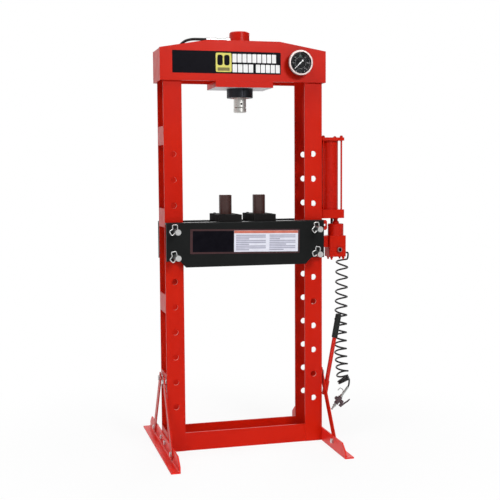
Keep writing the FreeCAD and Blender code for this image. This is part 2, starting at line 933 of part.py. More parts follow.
def bed_beam(label, front):
    """A channel beam, its flanges turned inwards and its lower corners cut away."""
    sign = -1 if front else 1
    body = new_body(label)
    section = new_sketch(body, "YZ")
    web = d.bed_half_depth - d.bed_thick
    tip = d.bed_half_depth - d.bed_flange
    draw_outline(section, [
        (sign * d.bed_half_depth, bed_bottom), (sign * d.bed_half_depth, bed_top),
        (sign * tip, bed_top), (sign * tip, bed_top - d.bed_thick),
        (sign * web, bed_top - d.bed_thick), (sign * web, bed_bottom + d.bed_thick),
        (sign * tip, bed_bottom + d.bed_thick), (sign * tip, bed_bottom)])
    pad(body, section, 2 * d.bed_half_length, both_ways=True)
    fillet(body, d.bed_bend, [(0, sign * d.bed_half_depth, bed_bottom),
                              (0, sign * d.bed_half_depth, bed_top)])
    cuts = new_sketch(body, "XZ")
    tab_bottom = bed_hole - d.bed_tab_under_hole
    slope = tab_bottom - bed_bottom
    for end in (-1, 1):
        draw_outline(cuts, [
            (end * (d.bed_bottom_half - 5), bed_bottom - 5),
            (end * (d.bed_bottom_half + slope), tab_bottom),
            (end * (d.bed_half_length + 5), tab_bottom),
            (end * (d.bed_half_length + 5), bed_bottom - 5)])
        for level in (bed_hole, bed_hole + d.hole_pitch):
            draw_circle(cuts, end * column_x, level, d.hole_width / 2)
    drill(body, cuts)


def cross_plates():
    """The two plates that tie the beams together just inside the columns."""
    body = new_body("bed_cross_plates")
    sketch = new_sketch(body, "XY")
    depth = d.bed_half_depth - d.bed_thick
    for end in (-1, 1):
        inner = end * (d.cross_plate_x - d.bed_thick / 2)
        outer = end * (d.cross_plate_x + d.bed_thick / 2)
        draw_box(sketch, inner, outer, -depth, depth)
    pad(body, sketch, d.cross_plate_tall)
    place(body, 0, 0, bed_bottom + d.bed_thick + 20)


# How far each pin is turned in its hole, so that its clip lies as it may.
PIN_TURNS = {"left_lower": -14, "left_upper": 0, "right_lower": 9, "right_upper": -6}
clip_plane = d.pin_hole_inset - d.pin_front


def bed_pin(label, x, z, turn):
    """A headed pin with a cross hole for its clip near the front end."""
    length = d.pin_front + d.bed_half_depth
    shank = rod(label + "_shank", d.pin_width / 2, length, x, -d.pin_front, z,
                about("x", -90))
    head = rod(label + "_head", d.pin_head_width / 2, d.pin_head_thick,
               x, d.bed_half_depth, z, about("x", -90))
    lean = about("y", turn)
    below = lean.multVec(Vector(0, 0, -d.pin_width.value))
    hole = rod(label + "_hole", d.pin_hole_width / 2, 2 * d.pin_width,
               x + below.x, clip_plane, z + below.z, lean)
    return without(label, joined(label + "_blank", [shank, head]), hole)


def pin_clip(x, z, turn):
    """A spring-wire clip: through the pin's hole, round two loops and back to its side."""
    bends = [(0, -11), (0, 31), (-22, 32), (-20, 15), (-35, 4), (-24, -15), (-12.6, -4.5)]
    lean = about("y", turn)
    middle = Vector(x.value, clip_plane.value, z.value)
    points = [middle + lean.multVec(Vector(across, 0, up)) for across, up in bends]
    edges, radii = rounded_path(points, 5)
    return tube_along(edges, points[1] - points[0], d.clip_wire.value / 2)


def bed_pins():
    """Four pins carry the bed, each held by a clip."""
    pins = []
    clips = []
    for side_name, side in SIDES:
        for row_name, row in (("lower", 0), ("upper", 1)):
            name = "%s_%s" % (side_name, row_name)
            level = bed_hole + d.pin_drop + row * d.hole_pitch
            pins.append(bed_pin("pin_" + name, side * column_x, level, PIN_TURNS[name]))
            clips.append(pin_clip(side * column_x, level, PIN_TURNS[name]))
    group("bed_pins", pins)
    shaped("bed_pin_clips", Part.makeCompound(clips))


bed_beam("bed_front_beam", True)
bed_beam("bed_rear_beam", False)
cross_plates()
bed_pins()


# ---------------------------------------------------------------- support blocks

def support(side_name, x):
    """A loose block across the bed beams, with a round post standing on it."""
    half_length = d.block_length / 2
    half_depth = d.block_depth / 2
    body = plate("support_block_" + side_name, "XY",
                 [(-half_length, -half_depth), (half_length, -half_depth),
                  (half_length, half_depth), (-half_length, half_depth)], d.block_tall)
    place(body, x, 0, bed_top)
    post = turned("support_post_" + side_name, [
        (0, 0), (d.post_radius, 0), (d.post_radius, d.post_tall - d.post_chamfer),
        (d.post_radius - d.post_chamfer, d.post_tall), (0, d.post_tall)])
    place(post, x, 0, bed_top + d.block_tall)


support("left", d.block_left_x)
support("right", d.block_right_x)


# ---------------------------------------------------------------- pump

def pump_bracket():
    """A plate on the column's strap, with an arm to the valve block and a drilled ear."""
    body = new_body("pump_bracket")
    outline = new_sketch(body, "YZ")
    half = d.bracket_half_depth
    draw_outline(outline, [(-half, d.bracket_bottom + 40), (-half + 25, d.bracket_bottom),
                           (half - 25, d.bracket_bottom), (half, d.bracket_bottom + 40),
                           (half, d.bracket_top), (-half, d.bracket_top)])
    pad(body, outline, d.bracket_thick)
    arm = new_sketch(body, "YZ")
    draw_box(arm, -30, 20, block_top - 52, block_top - 1)
    pad(body, arm, d.block_x_left - column_side)
    ear = new_sketch(body, "XZ")
    bind(ear, "AttachmentOffset.Base.z", half)
    reach = d.bracket_thick + 24
    draw_outline(ear, [(0, 960), (reach - 6, 960), (reach, 966), (reach, 999),
                       (reach - 6, 1005), (0, 1005)])
    draw_circle(ear, 19.5, 983, 5)
    pad(body, ear, 6, backwards=True)
    place(body, column_side)


def square_end(label, bottom, thickness, rod_hole_deep):
    """A square tank end with rounded corners and a hole at each corner for a tie rod."""
    half = d.tank_end_side / 2
    body = new_body(label)
    outline = new_sketch(body, "XY")
    draw_box(outline, -half, half, -half, half)
    pad(body, outline, thickness)
    corners = [(x, y, thickness / 2) for x in (-half, half) for y in (-half, half)]
    fillet(body, d.tank_end_corner, corners)
    holes = new_sketch(body, "XY")
    bind(holes, "AttachmentOffset.Base.z", thickness)
    offset = d.tie_rod_offset
    for x in (-offset, offset):
        for y in (-offset, offset):
            draw_circle(holes, x, y, d.tie_rod_width / 2 + 0.1)
    doc.recompute()
    whole = body.Shape.Volume
    pocket(body, holes, rod_hole_deep)
    doc.recompute()
    check_cut(body, whole)
    place(body, d.tank_x, 0, bottom)


def pump_fasteners():
    """Four tie rods with nuts, and the four studs with nuts under the valve block."""
    pieces = []
    rod_bottom = tank_bottom - 12
    for i, x in enumerate((-d.tie_rod_offset, d.tie_rod_offset)):
        for j, y in enumerate((-d.tie_rod_offset, d.tie_rod_offset)):
            name = "tie_%d%d" % (i, j)
            nut_top = cap_top + d.tie_nut_tall
            bar = rod(name + "_rod", d.tie_rod_width / 2, nut_top + 2 - rod_bottom,
                      d.tank_x + x, y, rod_bottom)
            nut = hexagon(name + "_nut", d.tie_nut_across, d.tie_nut_tall,
                          d.tank_x + x, y, cap_top)
            pieces.append(joined(name, [bar, nut]))
    for i, x in enumerate((d.block_x_left + 14, d.block_x_right - 9)):
        for j, y in enumerate((d.block_y_front + 13, d.block_y_rear - 12)):
            name = "block_stud_%d%d" % (i, j)
            nut = hexagon(name + "_nut", 12, 7, x, y, d.block_bottom - 7)
            stud = rod(name + "_rod", 4, 14, x, y, d.block_bottom - 14)
            pieces.append(joined(name, [nut, stud]))
    group("pump_fasteners", pieces)


def valve_block():
    """The cast valve block, with a bore for the release valve's spindle."""
    body = new_body("pump_valve_block")
    outline = new_sketch(body, "XY")
    draw_box(outline, d.block_x_left, d.block_x_right, d.block_y_front, d.block_y_rear)
    pad(body, outline, d.block_high)
    middle = d.block_high / 2
    fillet(body, 4, [(x, y, middle) for x in (d.block_x_left, d.block_x_right)
                     for y in (d.block_y_front, d.block_y_rear)])
    bore = new_sketch(body, "XZ")
    bind(bore, "AttachmentOffset.Base.z", -d.block_y_front)
    draw_circle(bore, d.valve_x, d.valve_level - d.block_bottom,
                d.valve_spindle + d.running_gap)
    doc.recompute()
    whole = body.Shape.Volume
    pocket(body, bore, 22)
    doc.recompute()
    check_cut(body, whole)
    place(body, 0, 0, d.block_bottom)


def release_valve():
    """The release screw: a spindle and a notched socket that the handle's end turns."""
    spindle = d.valve_spindle
    body = turned("release_valve", [
        (0, -20), (spindle, -20), (spindle, 0.5), (d.valve_radius - 3, 0.5),
        (d.valve_radius - 3, 4), (d.valve_radius, 5), (d.valve_radius, 14),
        (d.valve_radius - 1, 15), (spindle + 1, 15), (spindle + 1, 7), (0, 7)])
    notch = new_sketch(body, "XZ")
    draw_box(notch, -2, 2, 10, 16)
    drill(body, notch)
    place(body, d.valve_x, d.block_y_front, d.valve_level, about("x", 90))


def pump():
    """The air-over-oil pump: tank, neck, body, valve block and release valve."""
    pump_bracket()
    tank = turned("pump_tank_tube", [
        (d.tank_radius - d.tank_wall, tank_bottom), (d.tank_radius, tank_bottom),
        (d.tank_radius, tank_top), (d.tank_radius - d.tank_wall, tank_top)])
    place(tank, d.tank_x)
    square_end("pump_tank_base", d.tank_base_bottom, d.tank_base_tall, 12)
    square_end("pump_tank_cap", tank_top, d.tank_cap_thick, d.tank_cap_thick)
    pump_fasteners()
    body_top = block_top + d.body_tall
    waist = d.tank_base_bottom - d.neck_tall / 2
    neck = turned("pump_neck", [
        (0, body_top), (15.5, body_top), (15.5, body_top + 7), (9.5, waist),
        (9.5, waist + 5), (15, d.tank_base_bottom), (0, d.tank_base_bottom)])
    place(neck, d.body_x, d.body_y)
    barrel = turned("pump_body", [
        (0, block_top), (d.body_radius, block_top), (d.body_radius, body_top - 3),
        (d.body_radius - 3, body_top), (0, body_top)])
    place(barrel, d.body_x, d.body_y)
    valve_block()
    release_valve()


pump()


# ---------------------------------------------------------------- hydraulic hose

hydraulic_radius = 6
outlet_y = 62


def hydraulic_fittings():
    """Nipples, ferrules and the outlet elbow of the oil hose, and the air hose's collar."""
    to_left = about("y", -90)
    to_rear = about("x", -90)
    level = d.port_level
    spigot = rod("inlet_spigot", d.port_radius - 0.1, 10, -d.bore_radius, 0, level, to_left)
    hex_body = hexagon("inlet_hex", 19, 16, -d.barrel_radius, 0, level, to_left)
    stub = rod("inlet_stub", 6.5, 50, -d.barrel_radius - 10, 0, level, to_left)
    ferrule = rod("inlet_ferrule", 9, 45, -d.barrel_radius - 60, 0, level, to_left)
    outlet_hex = hexagon("outlet_hex", 19, 16, d.outlet_x, d.block_y_rear,
                         d.outlet_level, to_rear)
    outlet_arm = rod("outlet_arm", 7, outlet_y - d.block_y_rear, d.outlet_x,
                     d.block_y_rear, d.outlet_level, to_rear)
    knuckle = doc.addObject("Part::Sphere", "outlet_knuckle")
    bind(knuckle, "Radius", 8.5)
    place(knuckle, d.outlet_x, outlet_y, d.outlet_level)
    riser = rod("outlet_riser", 7, 32, d.outlet_x, outlet_y, d.outlet_level)
    outlet_ferrule = rod("outlet_ferrule", 9, 45, d.outlet_x, outlet_y,
                         d.outlet_level + 30)
    collar = rod("air_collar", 7, d.hose_collar, d.block_x_right, d.hose_exit_y,
                 d.hose_exit_level, about("y", 90))
    group("hose_fittings", [
        joined("oil_inlet", [spigot, hex_body, stub, ferrule]),
        joined("oil_outlet", [outlet_hex, outlet_arm, knuckle, riser, outlet_ferrule]),
        collar])


# The oil hose: from the cylinder's left port over the head's rear plate, along
# its back, down behind the right column and tank to the valve block.
HYDRAULIC_ROUTE = [
    (-149.5, 0, 1799), (-178, 0, 1799), (-208, 17, 1801), (-232, 58, 1799),
    (-251, 100, 1781), (-265, 108, 1732), (-266, 103, 1690), (-240, 98, 1654),
    (-190, 98, 1646), (266, 98, 1646),
    (330, 103, 1625), (374, 96, 1568), (392, 82, 1490), (397, 74, 1400), (404, 72, 1290),
    (426, 70, 1185), (446, 68, 1090), (452, 62, 1030), (452, 62, 980)]
CLIP_PLACES = (-150, 40, 225)


def hydraulic_hose():
    """The oil hose along its route; the radii of its bends are printed."""
    points = [Vector(*point) for point in HYDRAULIC_ROUTE]
    edges, radii = rounded_path(points)
    print("oil hose radii", [round(radius) for radius in radii])
    shape = tube_along(edges, points[1] - points[0], hydraulic_radius)
    length = sum(edge.Length for edge in edges)
    report_volume("oil hose", shape, length, hydraulic_radius)
    shaped("hydraulic_hose", shape)


def report_volume(name, shape, length, radius):
    """Print a tube's volume beside its section times its length."""
    expected = math.pi * radius ** 2 * length
    print("%s: length %.0f, volume %.0f, section x length %.0f"
          % (name, length, shape.Volume, expected))


def hose_clips():
    """P-clips that hold the oil hose to the head's rear plate."""
    clips = []
    bore = hydraulic_radius + 0.05
    _, run_y, run_z = HYDRAULIC_ROUTE[8]
    for i, x in enumerate(CLIP_PLACES):
        name = "clip_%d" % i
        ring = rod(name + "_ring", bore + 1.5, 12, x - 6, run_y, run_z, about("y", 90))
        tab = box(name + "_tab", (x - 6, x + 6), (head_face, head_face + 2),
                  (run_z - 26, run_z))
        hole = rod(name + "_bore", bore, 12, x - 6, run_y, run_z, about("y", 90))
        clips.append(without(name, joined(name + "_blank", [ring, tab]), hole))
    group("hose_clips", clips)


hydraulic_fittings()
hydraulic_hose()
hose_clips()


# ---------------------------------------------------------------- curly air hose

def ramp(value, low, high):
    """A smooth step from 0 at low to 1 at high."""
    share = min(max((value - low) / (high - low), 0), 1)
    return share * share * (3 - 2 * share)


def coil_frame(turn):
    """The middle of the curl and its sideways and rearward directions at a turn.

    The first curl swings out from the valve block. The curls hang closer together
    the lower they are, then close up and tip over where the gun pulls on them.
    """
    open_turns = d.coil_open_turns.value
    opened = min(turn, open_turns)
    starting = 1 - ramp(turn, 0, 0.6)
    pulled = ramp(turn, open_turns - 4.2, open_turns)
    tipping = ramp(turn, open_turns - 1.1, open_turns + 0.2)
    middle_x = 476 + 11 * starting - 5.5 * ramp(turn, 0, 9) + 10 * pulled
    drop = 48.33 * opened - 0.574 * opened ** 2 + 5 * starting
    lean = -4 * (1 - opened / open_turns)
    lean = math.radians(lean + (d.coil_closed_lean.value - lean) * tipping)
    tilt = math.radians(d.coil_closed_tilt.value * tipping)
    sideways = Vector(math.cos(lean), 0, math.sin(lean))
    rearward = Vector(math.sin(lean) * math.sin(tilt), math.cos(tilt),
                      -math.cos(lean) * math.sin(tilt))
    stacked = (turn - opened) * d.coil_closed_pitch.value
    centre = Vector(middle_x, d.hose_exit_y.value, d.coil_top.value - drop)
    return centre - sideways.cross(rearward) * stacked, sideways, rearward


def coil_point(turn):
    """A point on the curly hose's centre line: right, rear, left, front on each turn."""
    centre, sideways, rearward = coil_frame(turn)
    angle = 2 * math.pi * turn
    out = sideways * math.cos(angle) + rearward * math.sin(angle)
    return centre + out * d.coil_radius.value


def coil_heading(turn):
    """The hose's direction at a point of the coil."""
    step = 0.002
    return unit(coil_point(turn + step) - coil_point(turn - step))


def biarc(start, start_heading, end, end_heading):
    """Two arcs that leave one point and reach the other in the given directions."""
    chord = end - start
    both = start_heading + end_heading
    a = 2 * (start_heading.dot(end_heading) - 1)
    b = -2 * chord.dot(both)
    c = chord.dot(chord)
    reach = (-b - math.sqrt(b * b - 4 * a * c)) / (2 * a)
    first_corner = start + start_heading * reach
    last_corner = end - end_heading * reach
    joint = (first_corner + last_corner) / 2
    return [tangent_arc(start, first_corner, joint), tangent_arc(joint, last_corner, end)]


def tangent_arc(start, corner, end):
    """The arc that touches both lines of a corner with equal sides."""
    chord_middle = (start + end) / 2
    half_chord = (end - start).Length / 2
    height = (corner - chord_middle).Length
    side = (corner - start).Length
    sagitta = half_chord * (side - half_chord) / height
    return arc_edge(start, chord_middle + unit(corner - chord_middle) * sagitta, end)


def gun_point(across, y, along):
    """A place given in the gun's own directions, as a point of the press."""
    local = about("y", d.gun_lean.value).multVec(Vector(across, y, along))
    return Vector(d.gun_x.value, d.hose_exit_y.value, d.gun_level.value) + local


def air_hose_edges():
    """The curly hose's centre line, from the valve block to the gun."""
    exit_point = Vector((d.block_x_right + d.hose_collar).value, d.hose_exit_y.value,
                        d.hose_exit_level.value)
    outward = Vector(1, 0, 0)
    bend_start = exit_point + outward * d.hose_width.value
    gun_top = gun_point(0, 0, d.gun_length.value)
    gun_axis = unit(gun_point(0, 0, 0) - gun_top)
    bend_end = gun_top - gun_axis * d.hose_width.value
    first_turn = 1 / 12
    last_turn = (d.coil_open_turns + d.coil_closed_turns).value
    steps = math.ceil((last_turn - first_turn) * 2)
    stations = [(bend_start, outward)]
    for i in range(steps + 1):
        turn = first_turn + (last_turn - first_turn) * i / steps
        stations.append((coil_point(turn), coil_heading(turn)))
    stations.append((bend_end, gun_axis))
    edges = [Part.LineSegment(exit_point, bend_start).toShape()]
    for (start, heading), (end, end_heading) in zip(stations, stations[1:]):
        edges += biarc(start, heading, end, end_heading)
    edges.append(Part.LineSegment(bend_end, gun_top).toShape())
    return edges


def least_gap(edges, width):
    """The smallest clear distance between two stretches of a tube."""
    spacing = 2.0
    points = []
    for edge in edges:
        count = max(int(edge.Length / spacing), 1)
        points += edge.discretize(count + 1)[:-1]
    apart = int(1.5 * width / spacing) + 1
    nearest = min((points[i] - points[j]).Length
                  for i in range(len(points))
                  for j in range(i + 2 * apart, len(points)))
    return nearest - width


def air_hose():
    """The curly hose: one unbroken tube of open and closed curls."""
    edges = air_hose_edges()
    radius = d.hose_width.value / 2
    shape = tube_along(edges, Vector(1, 0, 0), radius)
    length = sum(edge.Length for edge in edges)
    bends = [edge.Curve.Radius for edge in edges if hasattr(edge.Curve, "Radius")]
    print("air hose: tightest bend %.1f, least gap to itself %.2f"
          % (min(bends), least_gap(edges, d.hose_width.value)))
    report_volume("air hose", shape, length, radius)
    shaped("air_hose", shape)


air_hose()


# ---------------------------------------------------------------- air gun

# The gun is drawn with its axis up Z from the inlet's end, its lever on the
# +X side and its hook on the -X side, then leaned over.

def at_gun(thing):
    """Lean a piece of the gun over and put it in its place."""
    return place(thing, d.gun_x, d.hose_exit_y, d.gun_level, about("y", d.gun_lean.value))


LEVER_PIVOT = (27.5, 44)
LEVER_PIN_RADIUS = 1.5


def gun_body():
    """The gun's barrel, its cross barrel for the valve, and a forked lug with a pin."""
    barrel = rod("gun_barrel", 10.5, 40, 0, 0, 33)
    cross = rod("gun_cross_barrel", 9, 41, -17, 0, 56, about("y", 90))
    cap = rod("gun_valve_cap", 6.5, 3, -20, 0, 56, about("y", 90))
    lug = box("gun_lug", (18, 31), (-4, 4), (34, 54))
    slot = box("gun_lug_slot", (23, 33), (-1.7, 1.7), (32, 56))
    forked = without("gun_forked", joined("gun_casting", [barrel, cross, cap, lug]), slot)
    x, z = LEVER_PIVOT
    pin = rod("gun_lever_pin", LEVER_PIN_RADIUS, 9, x, 4.5, z, about("x", 90))
    at_gun(joined("air_gun_body", [forked, pin]))


def gun_tube():
    """The bright tube from the gun to the hose, with its hanging hook of bent wire."""
    length = d.gun_length.value
    tube = rod("gun_tube_bar", 5.5, length - 73, 0, 0, 73)
    nut = hexagon("gun_tube_nut", 14, 9, 0, 0, 73)
    bends = [Vector(0, 0, 84), Vector(-8, 0, 104), Vector(-29, 0, 107), Vector(-30, 0, 88)]
    edges, radii = rounded_path(bends, 9)
    hook = shaped("gun_hook", tube_along(edges, bends[1] - bends[0], 2))
    at_gun(joined("air_gun_tube", [tube, nut, hook]))


def gun_lever():
    """The lever: a bent strip hung on a pin in the gun's lug."""
    x, z = LEVER_PIVOT
    outline = [(x - 3, z - 3), (x + 1.5, z - 5), (x + 6.5, z), (x + 10, z + 13),
               (x + 17, z + 31), (x + 19, z + 45), (x + 14, z + 46), (x + 10.5, z + 33),
               (x + 3, z + 16), (x + 1.5, z + 5), (x - 2.5, z + 2)]
    at_gun(plate("air_gun_lever", "XZ", outline, 3,
                 [(x, z, LEVER_PIN_RADIUS + d.running_gap)], both_ways=True))


def air_gun():
    """The hand valve that hangs on the hose, with its inlet nipple."""
    gun_body()
    gun_tube()
    gun_lever()
    at_gun(turned("air_inlet_nipple", [
        (0, 0), (4, 0), (5.2, 2.5), (5.2, 6), (3.8, 8), (3.8, 10), (5.2, 12), (5.2, 21),
        (8, 21), (8, 28), (6, 29), (6, 33), (0, 33)]))


air_gun()


# ---------------------------------------------------------------- pump handle

def at_handle(thing, along):
    """Lean a piece over and put it that far up the handle's axis."""
    angle = math.radians(d.handle_lean.value)
    return place(thing, d.handle_foot_x + along * math.sin(angle), d.handle_y,
                 d.handle_foot_level + along * math.cos(angle),
                 about("y", d.handle_lean.value))


def handle_grip():
    """A ribbed rubber grip with a closed, domed end."""
    body = turned("handle_grip", [
        (d.handle_radius, 0), (d.grip_radius - 1, 0), (d.grip_radius, 1),
        (d.grip_radius, d.grip_length - 5), (d.grip_radius - 3, d.grip_length - 1),
        (d.grip_radius - 7, d.grip_length), (0, d.grip_length), (0, d.grip_length - 4),
        (d.handle_radius, d.grip_length - 4)])
    groove = new_sketch(body, "XY")
    draw_box(groove, d.grip_radius - 1, d.grip_radius + 1, -0.9, 0.9)
    doc.recompute()
    whole = body.Shape.Volume
    first = pocket(body, groove, d.grip_length - 10, backwards=True)
    doc.recompute()
    check_cut(body, whole)
    around = body.newObject("PartDesign::PolarPattern", "handle_grip_grooves")
    around.Originals = [first]
    around.Axis = (groove, ["N_Axis"])
    around.Angle = 360
    around.Occurrences = 12
    body.Tip = around
    at_handle(body, d.handle_length - d.grip_length + 4)


def handle():
    """The pump handle standing in its holder beside the right foot."""
    at_handle(turned("pump_handle", [
        (d.handle_radius - d.handle_wall, 0), (d.handle_radius, 0),
        (d.handle_radius, d.handle_length),
        (d.handle_radius - d.handle_wall, d.handle_length)]), 0)
    handle_grip()
    cup = turned("holder_cup", [
        (0, -3), (d.holder_radius, -3), (d.holder_radius, d.holder_length - 3),
        (d.holder_bore, d.holder_length - 3), (d.holder_bore, 0), (0, 0)])
    at_handle(cup, 0)
    tab = box("holder_tab", (foot_side + d.brace_thick, 384), (-69, -63), (250, 268))
    bore = at_handle(rod("holder_clear", d.holder_bore, d.holder_length), 0)
    joined("handle_holder", [cup, without("holder_web", tab, bore)])


handle()
doc.recompute()


# ---------------------------------------------------------------- writing

NODES = [
    "column_left_front", "column_left_rear", "column_left_straps",
    "column_right_front", "column_right_rear", "column_right_straps",
    "base_front_beam", "base_rear_beam", "foot_left", "foot_right",
    "braces_left", "braces_right", "frame_bolts",
    "head_front_plate", "head_rear_plate", "head_end_plates", "cylinder_mount_plate",
    "ram_cylinder", "ram_lock_ring", "ram_gland", "ram_rod", "ram_piston",
    "ram_saddle", "saddle_screw",
    "gauge_case", "gauge_dial", "gauge_glass", "gauge_bezel", "gauge_needle",
    "gauge_stem", "gauge_tube",
    "bed_front_beam", "bed_rear_beam", "bed_cross_plates", "bed_pins", "bed_pin_clips",
    "support_block_left", "support_block_right", "support_post_left", "support_post_right",
    "pump_bracket", "pump_tank_tube", "pump_tank_base", "pump_tank_cap", "pump_fasteners",
    "pump_neck", "pump_body", "pump_valve_block", "release_valve",
    "hose_fittings", "hydraulic_hose", "hose_clips", "air_hose",
    "air_gun_body", "air_gun_tube", "air_gun_lever", "air_inlet_nipple",
    "pump_handle", "handle_grip", "handle_holder",
]


def check_document():
    """Stop if any object failed or any node has no sound shape."""
    failed = [thing.Label for thing in doc.Objects
              if "Invalid" in thing.State or "Error" in thing.State]
    if failed:
        raise RuntimeError("failed objects: " + ", ".join(failed))
    for node in NODES:
        shape = doc.getObjectsByLabel(node)[0].Shape
        if shape.isNull() or not shape.isValid():
            raise RuntimeError("no sound shape: " + node)


check_document()
os.makedirs("parts", exist_ok=True)
for node in NODES:
    doc.getObjectsByLabel(node)[0].Shape.exportStep("parts/%s.step" % node)
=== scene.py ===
"""The looks of a red hydraulic shop press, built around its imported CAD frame."""
import json
import math

import bpy
import bmesh
from mathutils import Matrix, Vector


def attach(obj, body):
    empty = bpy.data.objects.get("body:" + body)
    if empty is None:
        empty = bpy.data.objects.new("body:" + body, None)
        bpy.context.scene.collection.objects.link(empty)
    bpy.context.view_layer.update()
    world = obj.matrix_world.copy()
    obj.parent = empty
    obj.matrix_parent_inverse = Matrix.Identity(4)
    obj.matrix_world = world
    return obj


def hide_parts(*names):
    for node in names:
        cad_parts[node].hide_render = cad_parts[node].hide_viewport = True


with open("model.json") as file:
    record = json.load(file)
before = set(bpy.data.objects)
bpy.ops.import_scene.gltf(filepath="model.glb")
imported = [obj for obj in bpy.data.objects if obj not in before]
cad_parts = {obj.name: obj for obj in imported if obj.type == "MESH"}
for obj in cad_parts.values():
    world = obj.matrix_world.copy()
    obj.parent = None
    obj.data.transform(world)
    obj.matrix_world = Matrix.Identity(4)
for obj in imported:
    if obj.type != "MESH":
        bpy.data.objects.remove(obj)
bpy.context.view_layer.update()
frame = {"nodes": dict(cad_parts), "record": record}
scene = bpy.context.scene
nodes = frame["nodes"]

MM = 0.001


# ---------------------------------------------------------------- camera, light and floor

CAMERA_PLACE = (-1.0424, -4.0974, 1.2189)
CAMERA_YAW = 14.823       # degrees that the view turns from +Y toward +X
CAMERA_PITCH = 4.653      # degrees that it looks down
CAMERA_ROLL = -0.372
CAMERA_LENS = 68.28       # millimetres
CAMERA_SENSOR = 36        # millimetres
WORLD_LIGHT = 0.25        # the world's strength where it lights the object
FRONT_MIRRORED = 0.42     # and where the front of the room is mirrored
FRONT_FADE = (-0.9, 0.1)  # the Y of directions over which that rises to 1
RIGHT_MIRRORED = 0.22     # how much of it is left toward the room's right side
RIGHT_FADE = (0.2, 0.75)  # the X of directions over which it falls to that
FLOOR_RADIUS = 14
FLOOR_GLOW = 0.88         # how far the floor round the press is plain white
GLOW_FADE = (0.4, 1.6)    # metres from the middle over which it turns all white


def camera_axes():
    """The camera's right and up directions and the way it looks."""
    yaw = math.radians(CAMERA_YAW)
    pitch = math.radians(CAMERA_PITCH)
    roll = math.radians(CAMERA_ROLL)
    look = Vector((math.sin(yaw) * math.cos(pitch),
                   math.cos(yaw) * math.cos(pitch),
                   -math.sin(pitch)))
    level = Vector((math.cos(yaw), -math.sin(yaw), 0))
    upright = level.cross(look)
    right = level * math.cos(roll) + upright * math.sin(roll)
    up = upright * math.cos(roll) - level * math.sin(roll)
    return right, up, look


def make_camera():
    """The photograph's own viewpoint and lens."""
    right, up, look = camera_axes()
    data = bpy.data.cameras.new("camera")
    data.lens = CAMERA_LENS
    data.sensor_width = CAMERA_SENSOR
    data.clip_end = 50
    camera = bpy.data.objects.new("camera", data)
    turn = Matrix((right, up, -look)).transposed()
    camera.matrix_world = Matrix.Translation(CAMERA_PLACE) @ turn.to_4x4()
    scene.collection.objects.link(camera)
    scene.camera = camera


def area_light(name, place, aim, width, height, power, spread=180):
    """A soft rectangular lamp at one place, turned to another, its beam so many degrees wide."""
    data = bpy.data.lights.new(name, "AREA")
    data.shape = "RECTANGLE"
    data.size = width
    data.size_y = height
    data.energy = power
    data.spread = math.radians(spread)
    lamp = bpy.data.objects.new(name, data)
    lamp.location = place
    lamp.rotation_euler = (Vector(aim) - Vector(place)).to_track_quat("-Z", "Y").to_euler()
    scene.collection.objects.link(lamp)


def math_node(tree, operation, first, second):
    """An operation on two numbers, each a node's output or a constant."""
    made = tree.nodes.new("ShaderNodeMath")
    made.operation = operation
    for socket, value in zip(made.inputs, (first, second)):
        if isinstance(value, (int, float)):
            socket.default_value = value
        else:
            tree.links.new(value, socket)
    return made.outputs[0]


def map_range(tree, value, low, high, start, end):
    """A node that maps low..high onto start..end, held at the ends."""
    made = tree.nodes.new("ShaderNodeMapRange")
    for name, number in zip(("From Min", "From Max", "To Min", "To Max"),
                            (low, high, start, end)):
        made.inputs[name].default_value = number
    tree.links.new(value, made.inputs["Value"])
    return made


def seen_directly(tree):
    """1 for rays from the camera, a mirror or glass, and 0 for the rest."""
    path = tree.nodes.new("ShaderNodeLightPath")
    mirrored = math_node(tree, "MAXIMUM", path.outputs["Is Camera Ray"],
                         path.outputs["Is Glossy Ray"])
    return math_node(tree, "MAXIMUM", mirrored, path.outputs["Is Transmission Ray"])


def make_world():
    """White where it is seen, dimmer where its front or right is mirrored or it lights."""
    world = bpy.data.worlds.new("studio")
    scene.world = world
    world.use_nodes = True
    tree = world.node_tree
    tree.nodes.clear()
    output = tree.nodes.new("ShaderNodeOutputWorld")
    mix = tree.nodes.new("ShaderNodeMixShader")
    lighting = tree.nodes.new("ShaderNodeBackground")
    lighting.inputs["Color"].default_value = (0.97, 0.98, 1.0, 1)
    lighting.inputs["Strength"].default_value = WORLD_LIGHT
    seen = tree.nodes.new("ShaderNodeBackground")
    seen.inputs["Color"].default_value = (1, 1, 1, 1)
    direction = tree.nodes.new("ShaderNodeTexCoord")
    parts = tree.nodes.new("ShaderNodeSeparateXYZ")
    path = tree.nodes.new("ShaderNodeLightPath")
    tree.links.new(direction.outputs["Generated"], parts.inputs[0])
    front = map_range(tree, parts.outputs["Y"], *FRONT_FADE, FRONT_MIRRORED, 1.0)
    right = map_range(tree, parts.outputs["X"], *RIGHT_FADE, 1.0, RIGHT_MIRRORED)
    mirrored = math_node(tree, "MULTIPLY", front.outputs[0], right.outputs[0])
    strength = math_node(tree, "MAXIMUM", mirrored, path.outputs["Is Camera Ray"])
    tree.links.new(strength, seen.inputs["Strength"])
    tree.links.new(seen_directly(tree), mix.inputs[0])
    tree.links.new(lighting.outputs[0], mix.inputs[1])
    tree.links.new(seen.outputs[0], mix.inputs[2])
    tree.links.new(mix.outputs[0], output.inputs[0])


